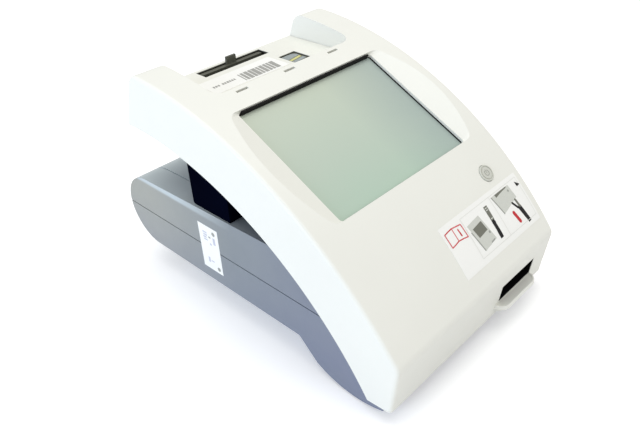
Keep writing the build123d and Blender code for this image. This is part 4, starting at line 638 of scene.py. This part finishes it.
def card_marks():
    return [
        ([(0.8, 0.8), (11.4, 0.8), (14.2, 3.6), (14.2, 6.2), (0.8, 8.4)], "silver"),
        ([(1.6, 9.0), (13.4, 7.0), (13.4, 9.6), (1.6, 11.6)], "gold"),
        ([(1.2, 12.4), (13.8, 10.3), (13.8, 13.8), (1.2, 15.6)], "silver"),
    ]


def power_mark():
    """Plain power sign: a ring open at its top, with a line in the opening."""
    radius = 1.9
    width = 0.42
    angles = [math.radians(30 + 15 * k) for k in range(21)]
    ring = [(radius * math.sin(a), -radius * math.cos(a)) for a in angles]
    return stroke(ring, width, "mark") + stroke([(0.0, -2.3), (0.0, 0.2)], width, "mark")


# The panels are drawn from left to right, because their uneven edges share one random series.
panels = panel_frames() + unit_from_above() + strip_with_pads() + unit_with_strip()
for name, surface, shapes, body in (
    ("label_book_print", on_front_label, open_book(), "case"),
    ("label_panel_print", on_front_label, panels, "case"),
    ("bay_label_print", on_bay_label, bay_marks(), "case"),
    ("side_label_print", on_side_label, side_marks(), "case"),
    ("card_print", on_card, card_marks(), "memory_card"),
    ("power_print", on_button, power_mark(), "power_button"),
):
    piece = print_marks(name, surface, shapes)
    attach(piece, body)


# ---- Floor and light ----
def floor_paint():
    """Matte white that glows a little toward the camera and still takes the shadow."""
    n = Nodes("floor_paint")
    stops = [(0.3, (0.90, 0.90, 0.90, 1)), (0.7, (0.92, 0.92, 0.92, 1))]
    n.paint(n.ramp(n.noise(3.0, 2.0), stops))
    n.gloss(rough=0.9, specular=0.0)
    path = n.add("ShaderNodeLightPath")
    glow = n.add("ShaderNodeEmission")
    glow.inputs["Strength"].default_value = FLOOR_GLOW
    both = n.add("ShaderNodeAddShader")
    n.link(n.shader.outputs[0], both.inputs[0])
    n.link(glow.outputs[0], both.inputs[1])
    pick = n.add("ShaderNodeMixShader")
    n.link(path.outputs["Is Camera Ray"], pick.inputs[0])
    n.link(n.shader.outputs[0], pick.inputs[1])
    n.link(both.outputs[0], pick.inputs[2])
    n.link(pick.outputs[0], n.out.inputs["Surface"])
    return n.material


def floor_mesh():
    mesh = bpy.data.meshes.new("floor")
    h = FLOOR_SIZE / 2
    corners = [(-h, -h, FLOOR_Z), (h, -h, FLOOR_Z), (h, h, FLOOR_Z), (-h, h, FLOOR_Z)]
    mesh.from_pydata(corners, [], [(0, 1, 2, 3)])
    mesh.materials.append(floor_paint())
    return mesh


def add_world():
    """Dim white light all round, and full white where the view passes the floor."""
    world = bpy.data.worlds.new("studio")
    bpy.context.scene.world = world
    world.use_nodes = True
    tree = world.node_tree
    tree.nodes.clear()
    out = tree.nodes.new("ShaderNodeOutputWorld")
    path = tree.nodes.new("ShaderNodeLightPath")
    seen = tree.nodes.new("ShaderNodeMath")
    seen.operation = "MAXIMUM"
    tree.links.new(path.outputs["Is Camera Ray"], seen.inputs[0])
    tree.links.new(path.outputs["Is Transmission Ray"], seen.inputs[1])
    pick = tree.nodes.new("ShaderNodeMixShader")
    tree.links.new(seen.outputs[0], pick.inputs[0])
    for index, strength in ((1, AMBIENT_STRENGTH), (2, BACKDROP_STRENGTH)):
        light = tree.nodes.new("ShaderNodeBackground")
        light.inputs["Color"].default_value = WHITE
        light.inputs["Strength"].default_value = strength
        tree.links.new(light.outputs[0], pick.inputs[index])
    tree.links.new(pick.outputs[0], out.inputs["Surface"])


def lamp(name, place, target, size, power, color):
    data = bpy.data.lights.new(name, "AREA")
    data.shape = "RECTANGLE"
    data.size, data.size_y = size
    data.energy = power
    data.color = color
    obj = add_object(name, data)
    obj.location = place
    obj.rotation_euler = (Vector(target) - Vector(place)).to_track_quat("-Z", "Y").to_euler()


floor = add_object("floor", floor_mesh())
add_world()
lamp("top_softbox", (0.1, 0.1, 1.5), (0.0, 0.0, 0.08), (1.4, 1.4), 11.0, WARM_LIGHT)
lamp("left_softbox", (-1.4, 0.2, 0.45), (0.0, 0.0, 0.09), (1.0, 0.8), 10.5, COOL_LIGHT)
lamp("front_fill", (0.5, -1.5, 0.9), (0.0, 0.0, 0.08), (1.2, 1.0), 2.4, WARM_LIGHT)
bpy.context.scene.view_settings.view_transform = "Standard"
